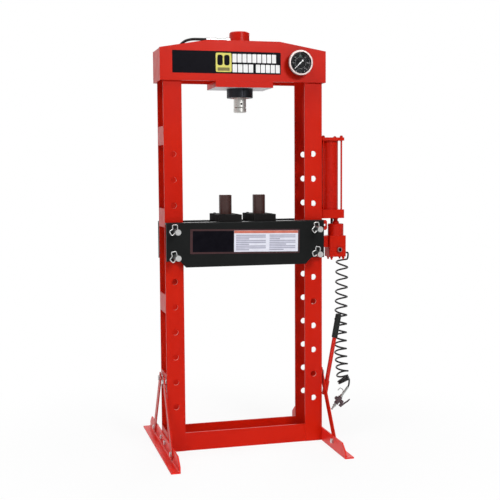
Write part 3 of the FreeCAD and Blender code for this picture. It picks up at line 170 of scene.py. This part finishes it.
def make_floor():
    """A wide pale floor that keeps the press's shadow and turns white away from it."""
    bpy.ops.mesh.primitive_circle_add(vertices=96, radius=FLOOR_RADIUS, fill_type="NGON")
    floor = bpy.context.object
    floor.name = "floor"
    material = bpy.data.materials.new("floor_white")
    material.use_nodes = True
    tree = material.node_tree
    tree.nodes.clear()
    output = tree.nodes.new("ShaderNodeOutputMaterial")
    mix = tree.nodes.new("ShaderNodeMixShader")
    pale = tree.nodes.new("ShaderNodeBsdfDiffuse")
    pale.inputs["Color"].default_value = (0.90, 0.90, 0.90, 1)
    white = tree.nodes.new("ShaderNodeEmission")
    white.inputs["Strength"].default_value = 1.0
    place = tree.nodes.new("ShaderNodeTexCoord")
    distance = tree.nodes.new("ShaderNodeVectorMath")
    distance.operation = "LENGTH"
    tree.links.new(place.outputs["Object"], distance.inputs[0])
    whiter = map_range(tree, distance.outputs["Value"], *GLOW_FADE, FLOOR_GLOW, 1.0)
    whiter.interpolation_type = "SMOOTHSTEP"
    share = math_node(tree, "MULTIPLY", whiter.outputs[0], seen_directly(tree))
    tree.links.new(share, mix.inputs[0])
    tree.links.new(pale.outputs[0], mix.inputs[1])
    tree.links.new(white.outputs[0], mix.inputs[2])
    tree.links.new(mix.outputs[0], output.inputs[0])
    floor.data.materials.append(material)


make_camera()
make_world()
make_floor()
area_light("key_lamp", (1.2, -4.2, 3.3), (0, 0, 1.0), 1.2, 1.2, 112)
area_light("top_lamp", (-1.8, -1.2, 4.6), (0, 0, 0.6), 2.0, 2.0, 78)
area_light("low_lamp", (-1.3, -2.4, 0.5), (0, -0.1, -0.1), 1.0, 0.5, 1.0, 50)
area_light("rear_lamp", (1.2, 3.4, 3.0), (0, 0, 1.0), 2.4, 2.4, 65)
scene.view_settings.view_transform = "Standard"


# ---------------------------------------------------------------- materials

class Shader:
    """A material whose colour, roughness and bump come from nodes."""

    def __init__(self, name, **constants):
        self.material = bpy.data.materials.new(name)
        self.material.use_nodes = True
        self.tree = self.material.node_tree
        self.surface = self.tree.nodes["Principled BSDF"]
        self.place = self.tree.nodes.new("ShaderNodeTexCoord").outputs["Object"]
        for socket, value in constants.items():
            self.surface.inputs[socket.replace("_", " ")].default_value = value

    def node(self, kind, **settings):
        """A node with its properties set."""
        made = self.tree.nodes.new("ShaderNode" + kind)
        for prop, value in settings.items():
            setattr(made, prop, value)
        return made

    def link(self, output, socket):
        self.tree.links.new(output, socket)

    def noise(self, size, detail=3.0, stretch=(1, 1, 1)):
        """Cloudy noise from 0 to 1 whose patches are about so many metres wide."""
        mapping = self.node("Mapping")
        mapping.inputs["Scale"].default_value = stretch
        self.link(self.place, mapping.inputs["Vector"])
        texture = self.node("TexNoise")
        texture.inputs["Scale"].default_value = 1 / size
        texture.inputs["Detail"].default_value = detail
        self.link(mapping.outputs[0], texture.inputs["Vector"])
        return texture.outputs[0]

    def between(self, amount, low, high, start=0.0, end=1.0):
        """Map low..high onto start..end, held at the ends."""
        return map_range(self.tree, amount, low, high, start, end).outputs[0]

    def mixed(self, amount, first, second):
        """A colour between two others, each a colour or a node's output."""
        mix = self.node("Mix", data_type="RGBA")
        self.link(amount, mix.inputs["Factor"])
        for socket, colour in ((mix.inputs[6], first), (mix.inputs[7], second)):
            if isinstance(colour, tuple):
                socket.default_value = (*colour, 1)
            else:
                self.link(colour, socket)
        return mix.outputs[2]

    def combined(self, operation, first, second):
        """An operation on two numbers, each a node's output or a constant."""
        return math_node(self.tree, operation, first, second)

    def part_of(self, vector, name):
        """One component, "X", "Y" or "Z", of a direction or a place."""
        parts = self.node("SeparateXYZ")
        self.link(vector, parts.inputs[0])
        return parts.outputs[name]

    def facing(self):
        """The direction in which the surface faces."""
        return self.node("NewGeometry").outputs["Normal"]

    def edges(self, radius):
        """1 along outer edges, fading to 0 about that far from them."""
        bevel = self.node("Bevel", samples=4)
        bevel.inputs["Radius"].default_value = radius
        agree = self.node("VectorMath", operation="DOT_PRODUCT")
        self.link(bevel.outputs[0], agree.inputs[0])
        self.link(self.facing(), agree.inputs[1])
        return self.between(agree.outputs["Value"], 0.75, 0.97, 1.0, 0.0)

    def colour(self, output):
        self.link(output, self.surface.inputs["Base Color"])
        return self

    def roughness(self, output):
        self.link(output, self.surface.inputs["Roughness"])
        return self

    def bump(self, *layers, edge=0.0):
        """Bumps from (height output, height in metres) pairs, over edges rounded so far."""
        normal = None
        if edge:
            bevel = self.node("Bevel", samples=4)
            bevel.inputs["Radius"].default_value = edge
            normal = bevel.outputs[0]
        for height, depth in layers:
            bump = self.node("Bump")
            bump.inputs["Strength"].default_value = 1.0
            bump.inputs["Distance"].default_value = depth
            self.link(height, bump.inputs["Height"])
            if normal is not None:
                self.link(normal, bump.inputs["Normal"])
            normal = bump.outputs[0]
        self.link(normal, self.surface.inputs["Normal"])
        return self


def paint(name, lit, deep, rough, sheen=0.12, underside=None, hole_rows=None):
    """Gloss enamel: a slight orange peel, faint cloudy shades, and pale edges in places, partly
    wear and partly a painted edge highlight.

    Where an underside colour is given, faces that look down take that colour in place of the
    enamel. Where hole_rows is given, as how far from the middle a column's row of holes is, the
    walls
    inside the holes turn a pale pink: paint rubbed off by the pins, and a painted reflection on
    the walls.
    """
    shader = Shader(name, Specular_IOR_Level=sheen)
    clouds = shader.noise(0.22, 2.0)
    shade = shader.between(clouds, 0.3, 0.7)
    coat = shader.mixed(shade, deep, lit)
    # Edges turn a paler pinkish red in patches: partly worn paint, partly a painted highlight
    # along the edges.
    edge_patches = shader.between(shader.noise(0.012, 4.0), 0.50, 0.68, 0.0, 0.55)
    edge_wear_and_glint = shader.combined("MULTIPLY", shader.edges(0.0010), edge_patches)
    coat = shader.mixed(edge_wear_and_glint, coat, tuple(0.55 * part + 0.12 for part in lit))
    if underside is not None:
        # Faces that look down take the given pale underside colour in place of the enamel.
        down = shader.part_of(shader.facing(), "Z")
        coat = shader.mixed(shader.between(down, -0.9, -0.8, 1.0, 0.0), coat, underside)
    # Inside the pin holes the walls turn pale pink: rubbed paint, and a painted reflection of
    # light on them.
    if hole_rows is not None:
        across = shader.combined("ABSOLUTE", shader.part_of(shader.place, "X"), 0)
        aside = shader.combined("ABSOLUTE", shader.combined("SUBTRACT", across, hole_rows), 0)
        outward = shader.combined("ABSOLUTE", shader.part_of(shader.facing(), "Y"), 0)
        inside = shader.combined("MULTIPLY", shader.between(aside, *HOLE_REACH, 1.0, 0.0),
                                 shader.between(outward, 0.3, 0.5, 1.0, 0.0))
        coat = shader.mixed(inside, coat, HOLE_RUB_AND_REFLECTION)
    shader.colour(coat)
    shader.roughness(shader.between(shader.noise(0.05), 0.3, 0.7, rough, rough + 0.10))
    shader.bump((shader.noise(0.004, 1.0), 0.00008), (shader.noise(0.0008, 2.0), 0.00001),
                edge=0.0012)
    return shader.material


def metal(name, pale, dark, rough, grain=(1, 1, 1), depth=0.00002, bore=None):
    """Bare metal with a fine grain, stretched where it was turned or drawn.

    A bore, as the x, z and radius of an axis along Y, is painted dark as shade in its recess.
    """
    shader = Shader(name, Metallic=1.0)
    fine = shader.noise(GRAIN_SIZE, 4.0, grain)
    skin = shader.mixed(shader.between(fine, 0.3, 0.7), dark, pale)
    if bore is not None:
        x, z, radius = bore
        from_axis = shader.node("VectorMath", operation="DISTANCE")
        flat = shader.node("CombineXYZ")
        shader.link(shader.part_of(shader.place, "X"), flat.inputs["X"])
        shader.link(shader.part_of(shader.place, "Z"), flat.inputs["Z"])
        shader.link(flat.outputs[0], from_axis.inputs[0])
        from_axis.inputs[1].default_value = (x, 0, z)
        # Inside the bore the metal is painted dark, as shade in the recess.
        bore_shade_mask = shader.between(from_axis.outputs["Value"], radius, radius * 1.03, 1.0, 0.0)
        skin = shader.mixed(bore_shade_mask, skin, BORE_SHADE)
    shader.colour(skin)
    shader.roughness(shader.between(fine, 0.3, 0.7, rough, rough + 0.12))
    shader.bump((fine, depth))
    return shader.material


def plastic(name, pale, dark, rough, size=0.006, sheen=0.4, worn_and_glint=None):
    """Rubber or plastic with a matt, slightly mottled skin, its edges lightened in patches toward
    a colour: partly wear, partly a painted highlight.
    """
    shader = Shader(name, Specular_IOR_Level=sheen)
    patches = shader.noise(size, 4.0)
    skin = shader.mixed(shader.between(patches, 0.35, 0.65), dark, pale)
    if worn_and_glint is not None:
        patchy = shader.between(shader.noise(0.004, 3.0), 0.35, 0.6)
        skin = shader.mixed(shader.combined("MULTIPLY", shader.edges(0.0009), patchy),
                            skin, worn_and_glint)
    shader.colour(skin)
    shader.roughness(shader.between(patches, 0.3, 0.7, rough, rough + 0.12))
    shader.bump((shader.noise(0.0007, 2.0), 0.00004))
    return shader.material


def glass(name):
    """Clear flat glass that lets light through to what it covers."""
    shader = Shader(name, Transmission_Weight=1.0, IOR=1.2)
    smudges = shader.between(shader.noise(0.02), 0.5, 0.8, 0.0, 0.05)
    shader.roughness(smudges)
    output = shader.tree.nodes["Material Output"]
    clear = shader.node("BsdfTransparent")
    mix = shader.node("MixShader")
    path = shader.node("LightPath")
    shader.link(path.outputs["Is Shadow Ray"], mix.inputs[0])
    shader.link(shader.surface.outputs[0], mix.inputs[1])
    shader.link(clear.outputs[0], mix.inputs[2])
    shader.link(mix.outputs[0], output.inputs[0])
    return shader.material


GRAIN_SIZE = 0.0015
# Pale pink for the pin holes' walls: partly paint rubbed off, partly a painted reflection.
HOLE_RUB_AND_REFLECTION = (0.85, 0.30, 0.26)
# Near-black: painted shade inside a bore's recess.
BORE_SHADE = (0.035, 0.012, 0.012)
HOLE_ROWS = 0.3155             # metres from the press's middle to each row of pin holes
HOLE_REACH = (0.014, 0.015)    # metres from a row's middle over which the pale pink of rubbing and painted reflection ends
RED = ((0.60, 0.013, 0.002), (0.54, 0.009, 0.0015))

RED_PAINT = paint("red_enamel", *RED, 0.30)
PALE_BELOW = paint("red_enamel_pale_below", *RED, 0.30, underside=(0.52, 0.51, 0.54))
RED_HOLES_RUBBED_AND_REFLECTING = paint("red_enamel_holes_rubbed_and_reflecting", *RED, 0.30, hole_rows=HOLE_ROWS)
ROUND_RED = paint("red_enamel_round", (0.58, 0.012, 0.003), (0.52, 0.008, 0.002), 0.22, 0.20)
# A lighter red for the feet, painted light: it stands in for the light that falls on their
# flanges.
FOOT_RED_LIT = paint("red_enamel_feet_lit", (0.84, 0.032, 0.020), (0.76, 0.024, 0.014), 0.30, 0.18)
BLACK_PAINT = paint("black_enamel", (0.0085, 0.0095, 0.0095), (0.006, 0.0065, 0.0065), 0.30)
# Black enamel for the posts with a brown-red tint that is a painted reflection of the red columns.
POST_BLACK_RED_REFLECTION = paint("post_black_red_reflection", (0.056, 0.017, 0.013), (0.040, 0.013, 0.010), 0.26, 0.6)
BLACK_CASTING = paint("black_casting", (0.014, 0.013, 0.013), (0.009, 0.008, 0.008), 0.75, 0.04)
CHROME = metal("chrome", (0.63, 0.625, 0.60), (0.54, 0.535, 0.515), 0.36, (6, 6, 0.3),
               depth=0.000004)
ZINC = metal("zinc_plate", (0.74, 0.74, 0.72), (0.52, 0.53, 0.54), 0.26)
# The release valve's reddish steel is a painted reflection of the red pump around it.
VALVE_STEEL_RED_REFLECTION = metal("valve_steel_red_reflection", (0.40, 0.26, 0.26), (0.22, 0.13, 0.13), 0.34,
                    bore=(0.4475, 0.869, 0.0071))
GUN_STEEL = metal("gun_steel", (0.46, 0.47, 0.46), (0.34, 0.35, 0.34), 0.28)
SCREW_BLACK = plastic("screw_black", (0.006, 0.006, 0.006), (0.004, 0.004, 0.004), 0.6)
BLACKENED = metal("blackened_steel", (0.042, 0.044, 0.052), (0.020, 0.021, 0.026), 0.30)
MACHINED = metal("machined_steel", (0.62, 0.60, 0.57), (0.40, 0.39, 0.38), 0.28)
BRONZE = metal("gland_bronze", (0.60, 0.42, 0.20), (0.48, 0.32, 0.14), 0.30)
BRASS = metal("brass", (0.76, 0.58, 0.26), (0.60, 0.43, 0.18), 0.24)
CASE_STEEL = metal("case_steel", (0.10, 0.10, 0.10), (0.06, 0.06, 0.06), 0.35)
BEZEL_STEEL = metal("bezel_steel", (0.44, 0.37, 0.355), (0.36, 0.30, 0.29), 0.30)
DIAL_BLACK = plastic("dial_black", (0.011, 0.012, 0.013), (0.007, 0.008, 0.009), 0.55, sheen=0.1)
CLEAR_GLASS = glass("clear_glass")
NEEDLE_WHITE = plastic("needle_white", (0.85, 0.86, 0.86), (0.75, 0.76, 0.76), 0.45)
OIL_HOSE_RUBBER = plastic("oil_hose_rubber", (0.022, 0.021, 0.021), (0.014, 0.014, 0.014), 0.42,
                          sheen=0.25)
AIR_HOSE_SKIN = plastic("air_hose_skin", (0.016, 0.015, 0.016), (0.010, 0.0095, 0.010), 0.30,
                        sheen=0.25)
GRIP_RUBBER = plastic("grip_rubber", (0.018, 0.020, 0.018), (0.010, 0.011, 0.010), 0.45, sheen=0.2)
# The gun casting's and lever's pale edges are partly wear and partly a painted highlight.
GUN_CASTING = plastic("gun_casting", (0.105, 0.062, 0.075), (0.055, 0.036, 0.042), 0.4,
                      worn_and_glint=(0.52, 0.40, 0.43))
LEVER_STEEL = plastic("lever_steel", (0.062, 0.032, 0.036), (0.036, 0.019, 0.021), 0.36,
                      worn_and_glint=(0.22, 0.15, 0.16))

LABEL_BLACK = plastic("label_black", (0.0050, 0.0045, 0.0075), (0.0035, 0.003, 0.0055), 0.34, 0.02,
                      0.04)
LABEL_WHITE = plastic("label_white", (0.86, 0.86, 0.86), (0.80, 0.80, 0.80), 0.32, 0.02)
LABEL_YELLOW = plastic("label_yellow", (0.72, 0.66, 0.15), (0.66, 0.60, 0.12), 0.34, 0.02, 0.2)
LABEL_OLIVE = plastic("label_olive", (0.20, 0.17, 0.03), (0.14, 0.12, 0.02), 0.34, 0.02)
LABEL_PALE = plastic("label_pale", (0.80, 0.81, 0.90), (0.75, 0.76, 0.85), 0.34, 0.02)
LABEL_CORAL = plastic("label_coral", (0.66, 0.19, 0.13), (0.58, 0.15, 0.10), 0.34, 0.02)
LABEL_GREY = plastic("label_grey", (0.42, 0.42, 0.53), (0.37, 0.37, 0.47), 0.36, 0.02)
LABEL_EDGE = plastic("label_edge", (0.045, 0.008, 0.011), (0.032, 0.006, 0.008), 0.36, 0.02)
DIAL_PALE = plastic("dial_pale", (0.34, 0.33, 0.34), (0.28, 0.27, 0.28), 0.5, 0.004)
DIAL_GREEN = plastic("dial_green", (0.03, 0.10, 0.07), (0.02, 0.07, 0.05), 0.5, 0.004)

SLOT_MATERIALS = {
    "red_paint": RED_PAINT,
    "black_paint": BLACK_PAINT,
    "chromed_steel": CHROME,
    "zinc_steel": ZINC,
    "blackened_steel": BLACKENED,
    "machined_steel": MACHINED,
    "gland_bronze": BRONZE,
    "gauge_case_steel": CASE_STEEL,
    "gauge_bezel_steel": BEZEL_STEEL,
    "dial_face": DIAL_BLACK,
    "clear_glass": CLEAR_GLASS,
    "needle_paint": NEEDLE_WHITE,
    "brass_fitting": BRASS,
    "hose_rubber": OIL_HOSE_RUBBER,
    "air_hose_plastic": AIR_HOSE_SKIN,
    "grip_rubber": GRIP_RUBBER,
    "gun_casting": GUN_CASTING,
}


# Nodes whose finish differs a little from the rest of their slot, some of them by painted light or
# shade.
OWN_MATERIALS = {
    "cylinder_mount_plate": PALE_BELOW,
    "support_block_left": BLACK_CASTING,
    "support_block_right": BLACK_CASTING,
    "support_post_left": POST_BLACK_RED_REFLECTION,
    "support_post_right": POST_BLACK_RED_REFLECTION,
    "release_valve": VALVE_STEEL_RED_REFLECTION,
    "saddle_screw": SCREW_BLACK,
    "ram_cylinder": ROUND_RED,
    "pump_tank_tube": ROUND_RED,
    "pump_body": ROUND_RED,
    "pump_neck": ROUND_RED,
    "pump_handle": ROUND_RED,
    "foot_left": FOOT_RED_LIT,
    "foot_right": FOOT_RED_LIT,
    "column_left_front": RED_HOLES_RUBBED_AND_REFLECTING,
    "column_left_rear": RED_HOLES_RUBBED_AND_REFLECTING,
    "column_right_front": RED_HOLES_RUBBED_AND_REFLECTING,
    "column_right_rear": RED_HOLES_RUBBED_AND_REFLECTING,
    "air_gun_tube": GUN_STEEL,
    "air_inlet_nipple": GUN_STEEL,
    "air_gun_lever": LEVER_STEEL,
}


def dress_frame():
    """Give every CAD node the material of its slot in the record, or its own."""
    for row in frame["record"]["subparts"]:
        slots = nodes[row["node"]].data.materials
        slots.clear()
        slots.append(OWN_MATERIALS.get(row["node"], SLOT_MATERIALS[row["material_slot"]]))


dress_frame()


# ---------------------------------------------------------------- curly air hose

HOSE_EXIT = Vector((0.486, -0.008, 0.851))
HOSE_WIDTH = 0.008
COIL_RADIUS = 0.0265
COIL_TOP = 0.8296
OPEN_TURNS = 14
CLOSED_TURNS = 1.93
CLOSED_PITCH = 0.0093
CLOSED_LEAN = 25          # degrees that the closed curls tip over sideways
CLOSED_TILT = 20          # and rearward
GUN_ORIGIN = Vector((0.426, -0.008, 0.1215))
GUN_LEAN = 38.6
GUN_LENGTH = 0.130
POINTS_PER_TURN = 20
FIRST_TURN = 1 / 12       # where the hose joins its first curl
STRAIGHT_OUT = 0.022      # how far it runs straight out of the valve block


def ramp(value, low, high):
    """A smooth step from 0 at low to 1 at high."""
    share = min(max((value - low) / (high - low), 0), 1)
    return share * share * (3 - 2 * share)


def coil_point(turn):
    """A point of the hose's curls, which close up and tip over at the bottom."""
    opened = min(turn, OPEN_TURNS)
    starting = 1 - ramp(turn, 0, 0.6)
    pulled = ramp(turn, OPEN_TURNS - 4.2, OPEN_TURNS)
    tipping = ramp(turn, OPEN_TURNS - 1.1, OPEN_TURNS + 0.2)
    middle_x = 0.476 + 0.011 * starting - 0.0055 * ramp(turn, 0, 9) + 0.010 * pulled
    drop = 0.04833 * opened - 0.000574 * opened ** 2 + 0.005 * starting
    lean = -4 * (1 - opened / OPEN_TURNS)
    lean = math.radians(lean + (CLOSED_LEAN - lean) * tipping)
    tilt = math.radians(CLOSED_TILT * tipping)
    sideways = Vector((math.cos(lean), 0, math.sin(lean)))
    rearward = Vector((math.sin(lean) * math.sin(tilt), math.cos(tilt),
                       -math.cos(lean) * math.sin(tilt)))
    stacked = (turn - opened) * CLOSED_PITCH
    centre = Vector((middle_x, HOSE_EXIT.y, COIL_TOP - drop))
    centre -= sideways.cross(rearward) * stacked
    angle = 2 * math.pi * turn
    return centre + COIL_RADIUS * (sideways * math.cos(angle) + rearward * math.sin(angle))


def air_hose():
    """The free hose: out of the valve block, down its curls and into the gun."""
    lean = math.radians(GUN_LEAN)
    gun_axis = Vector((math.sin(lean), 0, math.cos(lean)))
    gun_top = GUN_ORIGIN + gun_axis * GUN_LENGTH
    outward = Vector((1, 0, 0))
    last_turn = OPEN_TURNS + CLOSED_TURNS
    steps = math.ceil((last_turn - FIRST_TURN) * POINTS_PER_TURN)
    points = [HOSE_EXIT, HOSE_EXIT + outward * HOSE_WIDTH, HOSE_EXIT + outward * STRAIGHT_OUT]
    for i in range(steps + 1):
        points.append(coil_point(FIRST_TURN + (last_turn - FIRST_TURN) * i / steps))
    points += [gun_top + gun_axis * HOSE_WIDTH, gun_top]
    data = bpy.data.curves.new("air_hose_curls", "CURVE")
    data.dimensions = "3D"
    spline = data.splines.new("NURBS")
    spline.points.add(len(points) - 1)
    for control, point in zip(spline.points, points):
        control.co = (*point, 1)
    spline.order_u = 3
    spline.use_endpoint_u = True
    spline.resolution_u = 5
    data.bevel_depth = HOSE_WIDTH / 2
    data.bevel_resolution = 5
    data.use_fill_caps = True
    data.materials.append(AIR_HOSE_SKIN)
    hose = bpy.data.objects.new("air_hose_curls", data)
    scene.collection.objects.link(hose)
    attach(hose, "root")
    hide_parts("air_hose")


air_hose()


# ---------------------------------------------------------------- pieces of the scene's own

ROUND_STEPS = 24
SHARP_ANGLE = 35          # degrees; gentler edges are shaded smooth


class Piece:
    """A mesh put together from closed forms on one plane of the press.

    Its places are in millimetres: across, upward and outward from the plane's origin.
    """

    def __init__(self, name, materials, origin, across, upward):
        self.mesh = bmesh.new()
        self.data = bpy.data.meshes.new(name)
        for material in materials:
            self.data.materials.append(material)
        across = Vector(across).normalized()
        upward = Vector(upward).normalized()
        turn = Matrix((across, upward, across.cross(upward))).transposed()
        self.where = Matrix.Translation(Vector(origin) * MM) @ turn.to_4x4() @ Matrix.Scale(MM, 4)

    def point(self, x, y, height):
        return self.mesh.verts.new(self.where @ Vector((x, y, height)))

    def skin(self, rings, material):
        """Join rings of the same number of points into one closed form."""
        faces = []
        for low, high in zip(rings, rings[1:]):
            for i in range(len(low)):
                j = (i + 1) % len(low)
                faces.append(self.mesh.faces.new((low[i], low[j], high[j], high[i])))
        faces.append(self.mesh.faces.new(list(reversed(rings[0]))))
        faces.append(self.mesh.faces.new(rings[-1]))
        for face in faces:
            face.material_index = material

    def slab(self, outline, base, top, material=0):
        """A flat form of one outline between two heights, its top edge eased."""
        ease = min(0.3, (top - base) / 2)
        middle_x = sum(x for x, y in outline) / len(outline)
        middle_y = sum(y for x, y in outline) / len(outline)
        wide = max(max(abs(x - middle_x), abs(y - middle_y)) for x, y in outline)
        inward = 1 - ease * 0.6 / wide
        inner = [(middle_x + (x - middle_x) * inward, middle_y + (y - middle_y) * inward)
                 for x, y in outline]
        self.skin([[self.point(x, y, base) for x, y in outline],
                   [self.point(x, y, top - ease) for x, y in outline],
                   [self.point(x, y, top) for x, y in inner]], material)

    def turned(self, profile, middle=(0, 0)):
        """A round form from (radius, height) pairs, lowest first."""
        rings = []
        for radius, height in profile:
            rings.append([self.point(middle[0] + radius * math.cos(2 * math.pi * i / ROUND_STEPS),
                                     middle[1] + radius * math.sin(2 * math.pi * i / ROUND_STEPS),
                                     height) for i in range(ROUND_STEPS)])
        self.skin(rings, 0)

    def number(self, text, x, y, tall, height):
        """A number in Blender's own letters, centred on a place."""
        curve = bpy.data.curves.new("number", "FONT")
        curve.body = text
        curve.size = tall
        curve.extrude = 0.1
        curve.align_x = "CENTER"
        curve.align_y = "CENTER"
        written = bpy.data.objects.new("number", curve)
        shape = bpy.data.meshes.new_from_object(written)
        shape.transform(self.where @ Matrix.Translation((x, y, height)))
        self.mesh.from_mesh(shape)
        bpy.data.objects.remove(written)

    def finish(self, body, slot):
        """Make the object, smooth its round faces and let it ride on a body."""
        bmesh.ops.recalc_face_normals(self.mesh, faces=self.mesh.faces)
        self.mesh.to_mesh(self.data)
        self.mesh.free()
        self.data.shade_smooth()
        self.data.set_sharp_from_angle(angle=math.radians(SHARP_ANGLE))
        made = bpy.data.objects.new(self.data.name, self.data)
        scene.collection.objects.link(made)
        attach(made, body)
        return made


def rounded(left, right, low, high, corner):
    """The outline of a rectangle with rounded corners."""
    outline = []
    for x, y, start in ((right - corner, high - corner, 0), (left + corner, high - corner, 90),
                        (left + corner, low + corner, 180),
                        (right - corner, low + corner, 270)):
        for step in range(5):
            angle = math.radians(start + 22.5 * step)
            outline.append((x + corner * math.cos(angle), y + corner * math.sin(angle)))
    return outline


def ring_part(inner, outer, start, end, steps):
    """The outline of a piece of a ring between two angles in degrees."""
    angles = [math.radians(start + (end - start) * i / steps) for i in range(steps + 1)]
    return ([(outer * math.cos(angle), outer * math.sin(angle)) for angle in angles]
            + [(inner * math.cos(angle), inner * math.sin(angle)) for angle in reversed(angles)])


# ---------------------------------------------------------------- labels

# Each layer's lowest and highest millimetre over the face behind the label.
PLATE = (0, 0.5)
BLOCKS = (0.4, 0.8)
FIELDS = (0.4, 0.75)
SHAPES = (0.7, 1.05)
BARS = (0.7, 1.0)
BLOCK_GAP = 3.5


def head_label():
    """The head's label: a black plate, a yellow field with blank shapes, and white blocks."""
    black, yellow, white, olive = range(4)
    label = Piece("head_label", [LABEL_BLACK, LABEL_YELLOW, LABEL_WHITE, LABEL_OLIVE],
                  (0, -88.5, 0), (1, 0, 0), (0, 0, 1))
    label.slab(rounded(-316.5, 162.5, 1644.5, 1739, 3), *PLATE, black)
    label.slab(rounded(-128, -58, 1651, 1732, 6), *BLOCKS, yellow)
    for left in (-121, -91):
        label.slab(rounded(left, left + 24, 1679, 1724, 9), *SHAPES, black)
    label.slab(rounded(-120, -67, 1656, 1670, 2), *SHAPES, olive)
    for row_left, row_right, blocks, low, high in ((-54, 141, 9, 1692.5, 1729),
                                                   (-54, 38, 4, 1650.5, 1685),
                                                   (50, 158, 5, 1650.5, 1685)):
        pitch = (row_right - row_left + BLOCK_GAP) / blocks
        for i in range(blocks):
            left = row_left + pitch * i
            label.slab(rounded(left, left + pitch - BLOCK_GAP, low, high, 2.2), *BLOCKS, white)
    label.finish("root", "black_paint")


# The right ends of the bed label's bars, in its own millimetres, from the top down.
LEFT_BARS = (337, 337, 262, 337, 337, 262, 337, 337, 262)
RIGHT_BARS = (473, 473, 402, 473, 473, 431, 473, 473, 419)
BAR_PITCH = 7.9
BAR_WIDTH = 5.0


def bed_label():
    """The bed's label: a black field and a pale field with blank grey bars."""
    edge, black, pale, coral, grey = range(5)
    lean = math.radians(-1.0)
    across = Vector((math.cos(lean), 0, math.sin(lean)))
    upward = Vector((-math.sin(lean), 0, math.cos(lean)))
    corner = Vector((-5.3, -107, 921.4)) - across * 246.5 - upward * 53.5
    label = Piece("bed_label", [LABEL_EDGE, LABEL_BLACK, LABEL_PALE, LABEL_CORAL, LABEL_GREY],
                  corner, across, upward)
    label.slab(rounded(0, 493, 0, 107, 4), *PLATE, edge)
    label.slab(rounded(11, 193, 8, 99, 1.5), *FIELDS, black)
    label.slab(rounded(194, 485, 8, 101, 1.5), *FIELDS, pale)
    label.slab(rounded(194.5, 484.5, 89, 100.5, 1), *BARS, coral)
    for left, ends in ((203, LEFT_BARS), (354, RIGHT_BARS)):
        for i, right in enumerate(ends):
            high = 82.5 - BAR_PITCH * i
            label.slab(rounded(left, right, high - BAR_WIDTH, high, 1.2), *BARS, grey)
    label.finish("root", "black_paint")


head_label()
bed_label()


# ---------------------------------------------------------------- gauge

GAUGE_X = 242
GAUGE_LEVEL = 1694
DIAL_FACE = -120
DIAL_START = 225          # degrees, at the lower left
DIAL_SWEEP = 270
DIAL_TICKS = 60
INK = (-0.05, 0.2)        # millimetres behind and before the dial's face


def gauge_plane(name, materials):
    """A piece drawn on the dial's face, round its pivot."""
    return Piece(name, materials, (GAUGE_X, DIAL_FACE, GAUGE_LEVEL), (1, 0, 0), (0, 0, 1))


def dial_marks():
    """Ticks, numbers, arcs and two screws on the dial, clockwise from the lower left."""
    marks = gauge_plane("dial_marks", [DIAL_PALE, DIAL_GREEN])
    for i in range(DIAL_TICKS + 1):
        angle = DIAL_START - DIAL_SWEEP / DIAL_TICKS * i
        inner = 38.0 if i % 10 == 0 else 39.8 if i % 5 == 0 else 41.2
        half = 0.42 if i % 10 == 0 else 0.26
        wide = math.degrees(half / 43)
        marks.slab(ring_part(inner, 44.2, angle - wide, angle + wide, 2), *INK)
    marks.slab(ring_part(44.2, 44.7, DIAL_START - DIAL_SWEEP, DIAL_START, 60), *INK)
    for i in range(7):
        angle = math.radians(DIAL_START - DIAL_SWEEP / 6 * i)
        marks.number(str(10 * i), 32.4 * math.cos(angle), 32.4 * math.sin(angle), 8.2, 0.1)
    marks.slab(ring_part(26.0, 31.5, 75, 100, 8), -0.05, 0.15, 1)
    marks.slab(ring_part(24.2, 24.7, 0, 359.5, 72), *INK)
    for turn in (-118, -62):
        angle = math.radians(turn)
        marks.turned([(1.7, -0.05), (1.7, 0.5), (1.2, 0.9), (0.2, 1.0)],
                     (40.5 * math.cos(angle), 40.5 * math.sin(angle)))
    marks.finish("root", "dial_face")


def needle():
    """The white needle at rest: a tapered tip, a round tail weight and its pin."""
    hand = gauge_plane("needle", [NEEDLE_WHITE])
    start = math.radians(DIAL_START)
    tip = Vector((math.cos(start), math.sin(start)))
    side = Vector((-tip.y, tip.x))
    outline = []
    widths = ((37.5, 0.4), (20, 1.1), (8, 1.7), (1, 2.8), (-5, 1.6), (-12, 1.3))
    for along, half in widths:
        outline.append(tip * along + side * half)
    for along, half in reversed(widths):
        outline.append(tip * along - side * half)
    hand.slab([tuple(point) for point in outline], 2.3, 3.1)
    tail = -14 * tip
    hand.turned([(3.9, 2.2), (3.9, 2.9), (3.5, 3.2), (0.3, 3.3)], tuple(tail))
    hand.turned([(1.3, -3.0), (1.3, 2.4), (2.6, 2.5), (2.6, 3.5), (1.9, 4.0), (0.3, 4.2)])
    made = hand.finish("needle", "needle_paint")
    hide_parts("gauge_needle")


dial_marks()
needle()


# ---------------------------------------------------------------- studs

BLOCK_TOP = 1038.1


def block_studs():
    """Low round studs near the corners of the two support blocks."""
    studs = Piece("block_studs", [BLACK_CASTING], (0, 0, BLOCK_TOP), (1, 0, 0), (0, 1, 0))
    for x in (-100, -40, 54, 114):
        for y in (-86, 86):
            studs.turned([(6.5, -1), (6.5, 1.6), (5.6, 2.6), (3.6, 3.2), (0.3, 3.3)], (x, y))
    studs.finish("root", "black_paint")


block_studs()
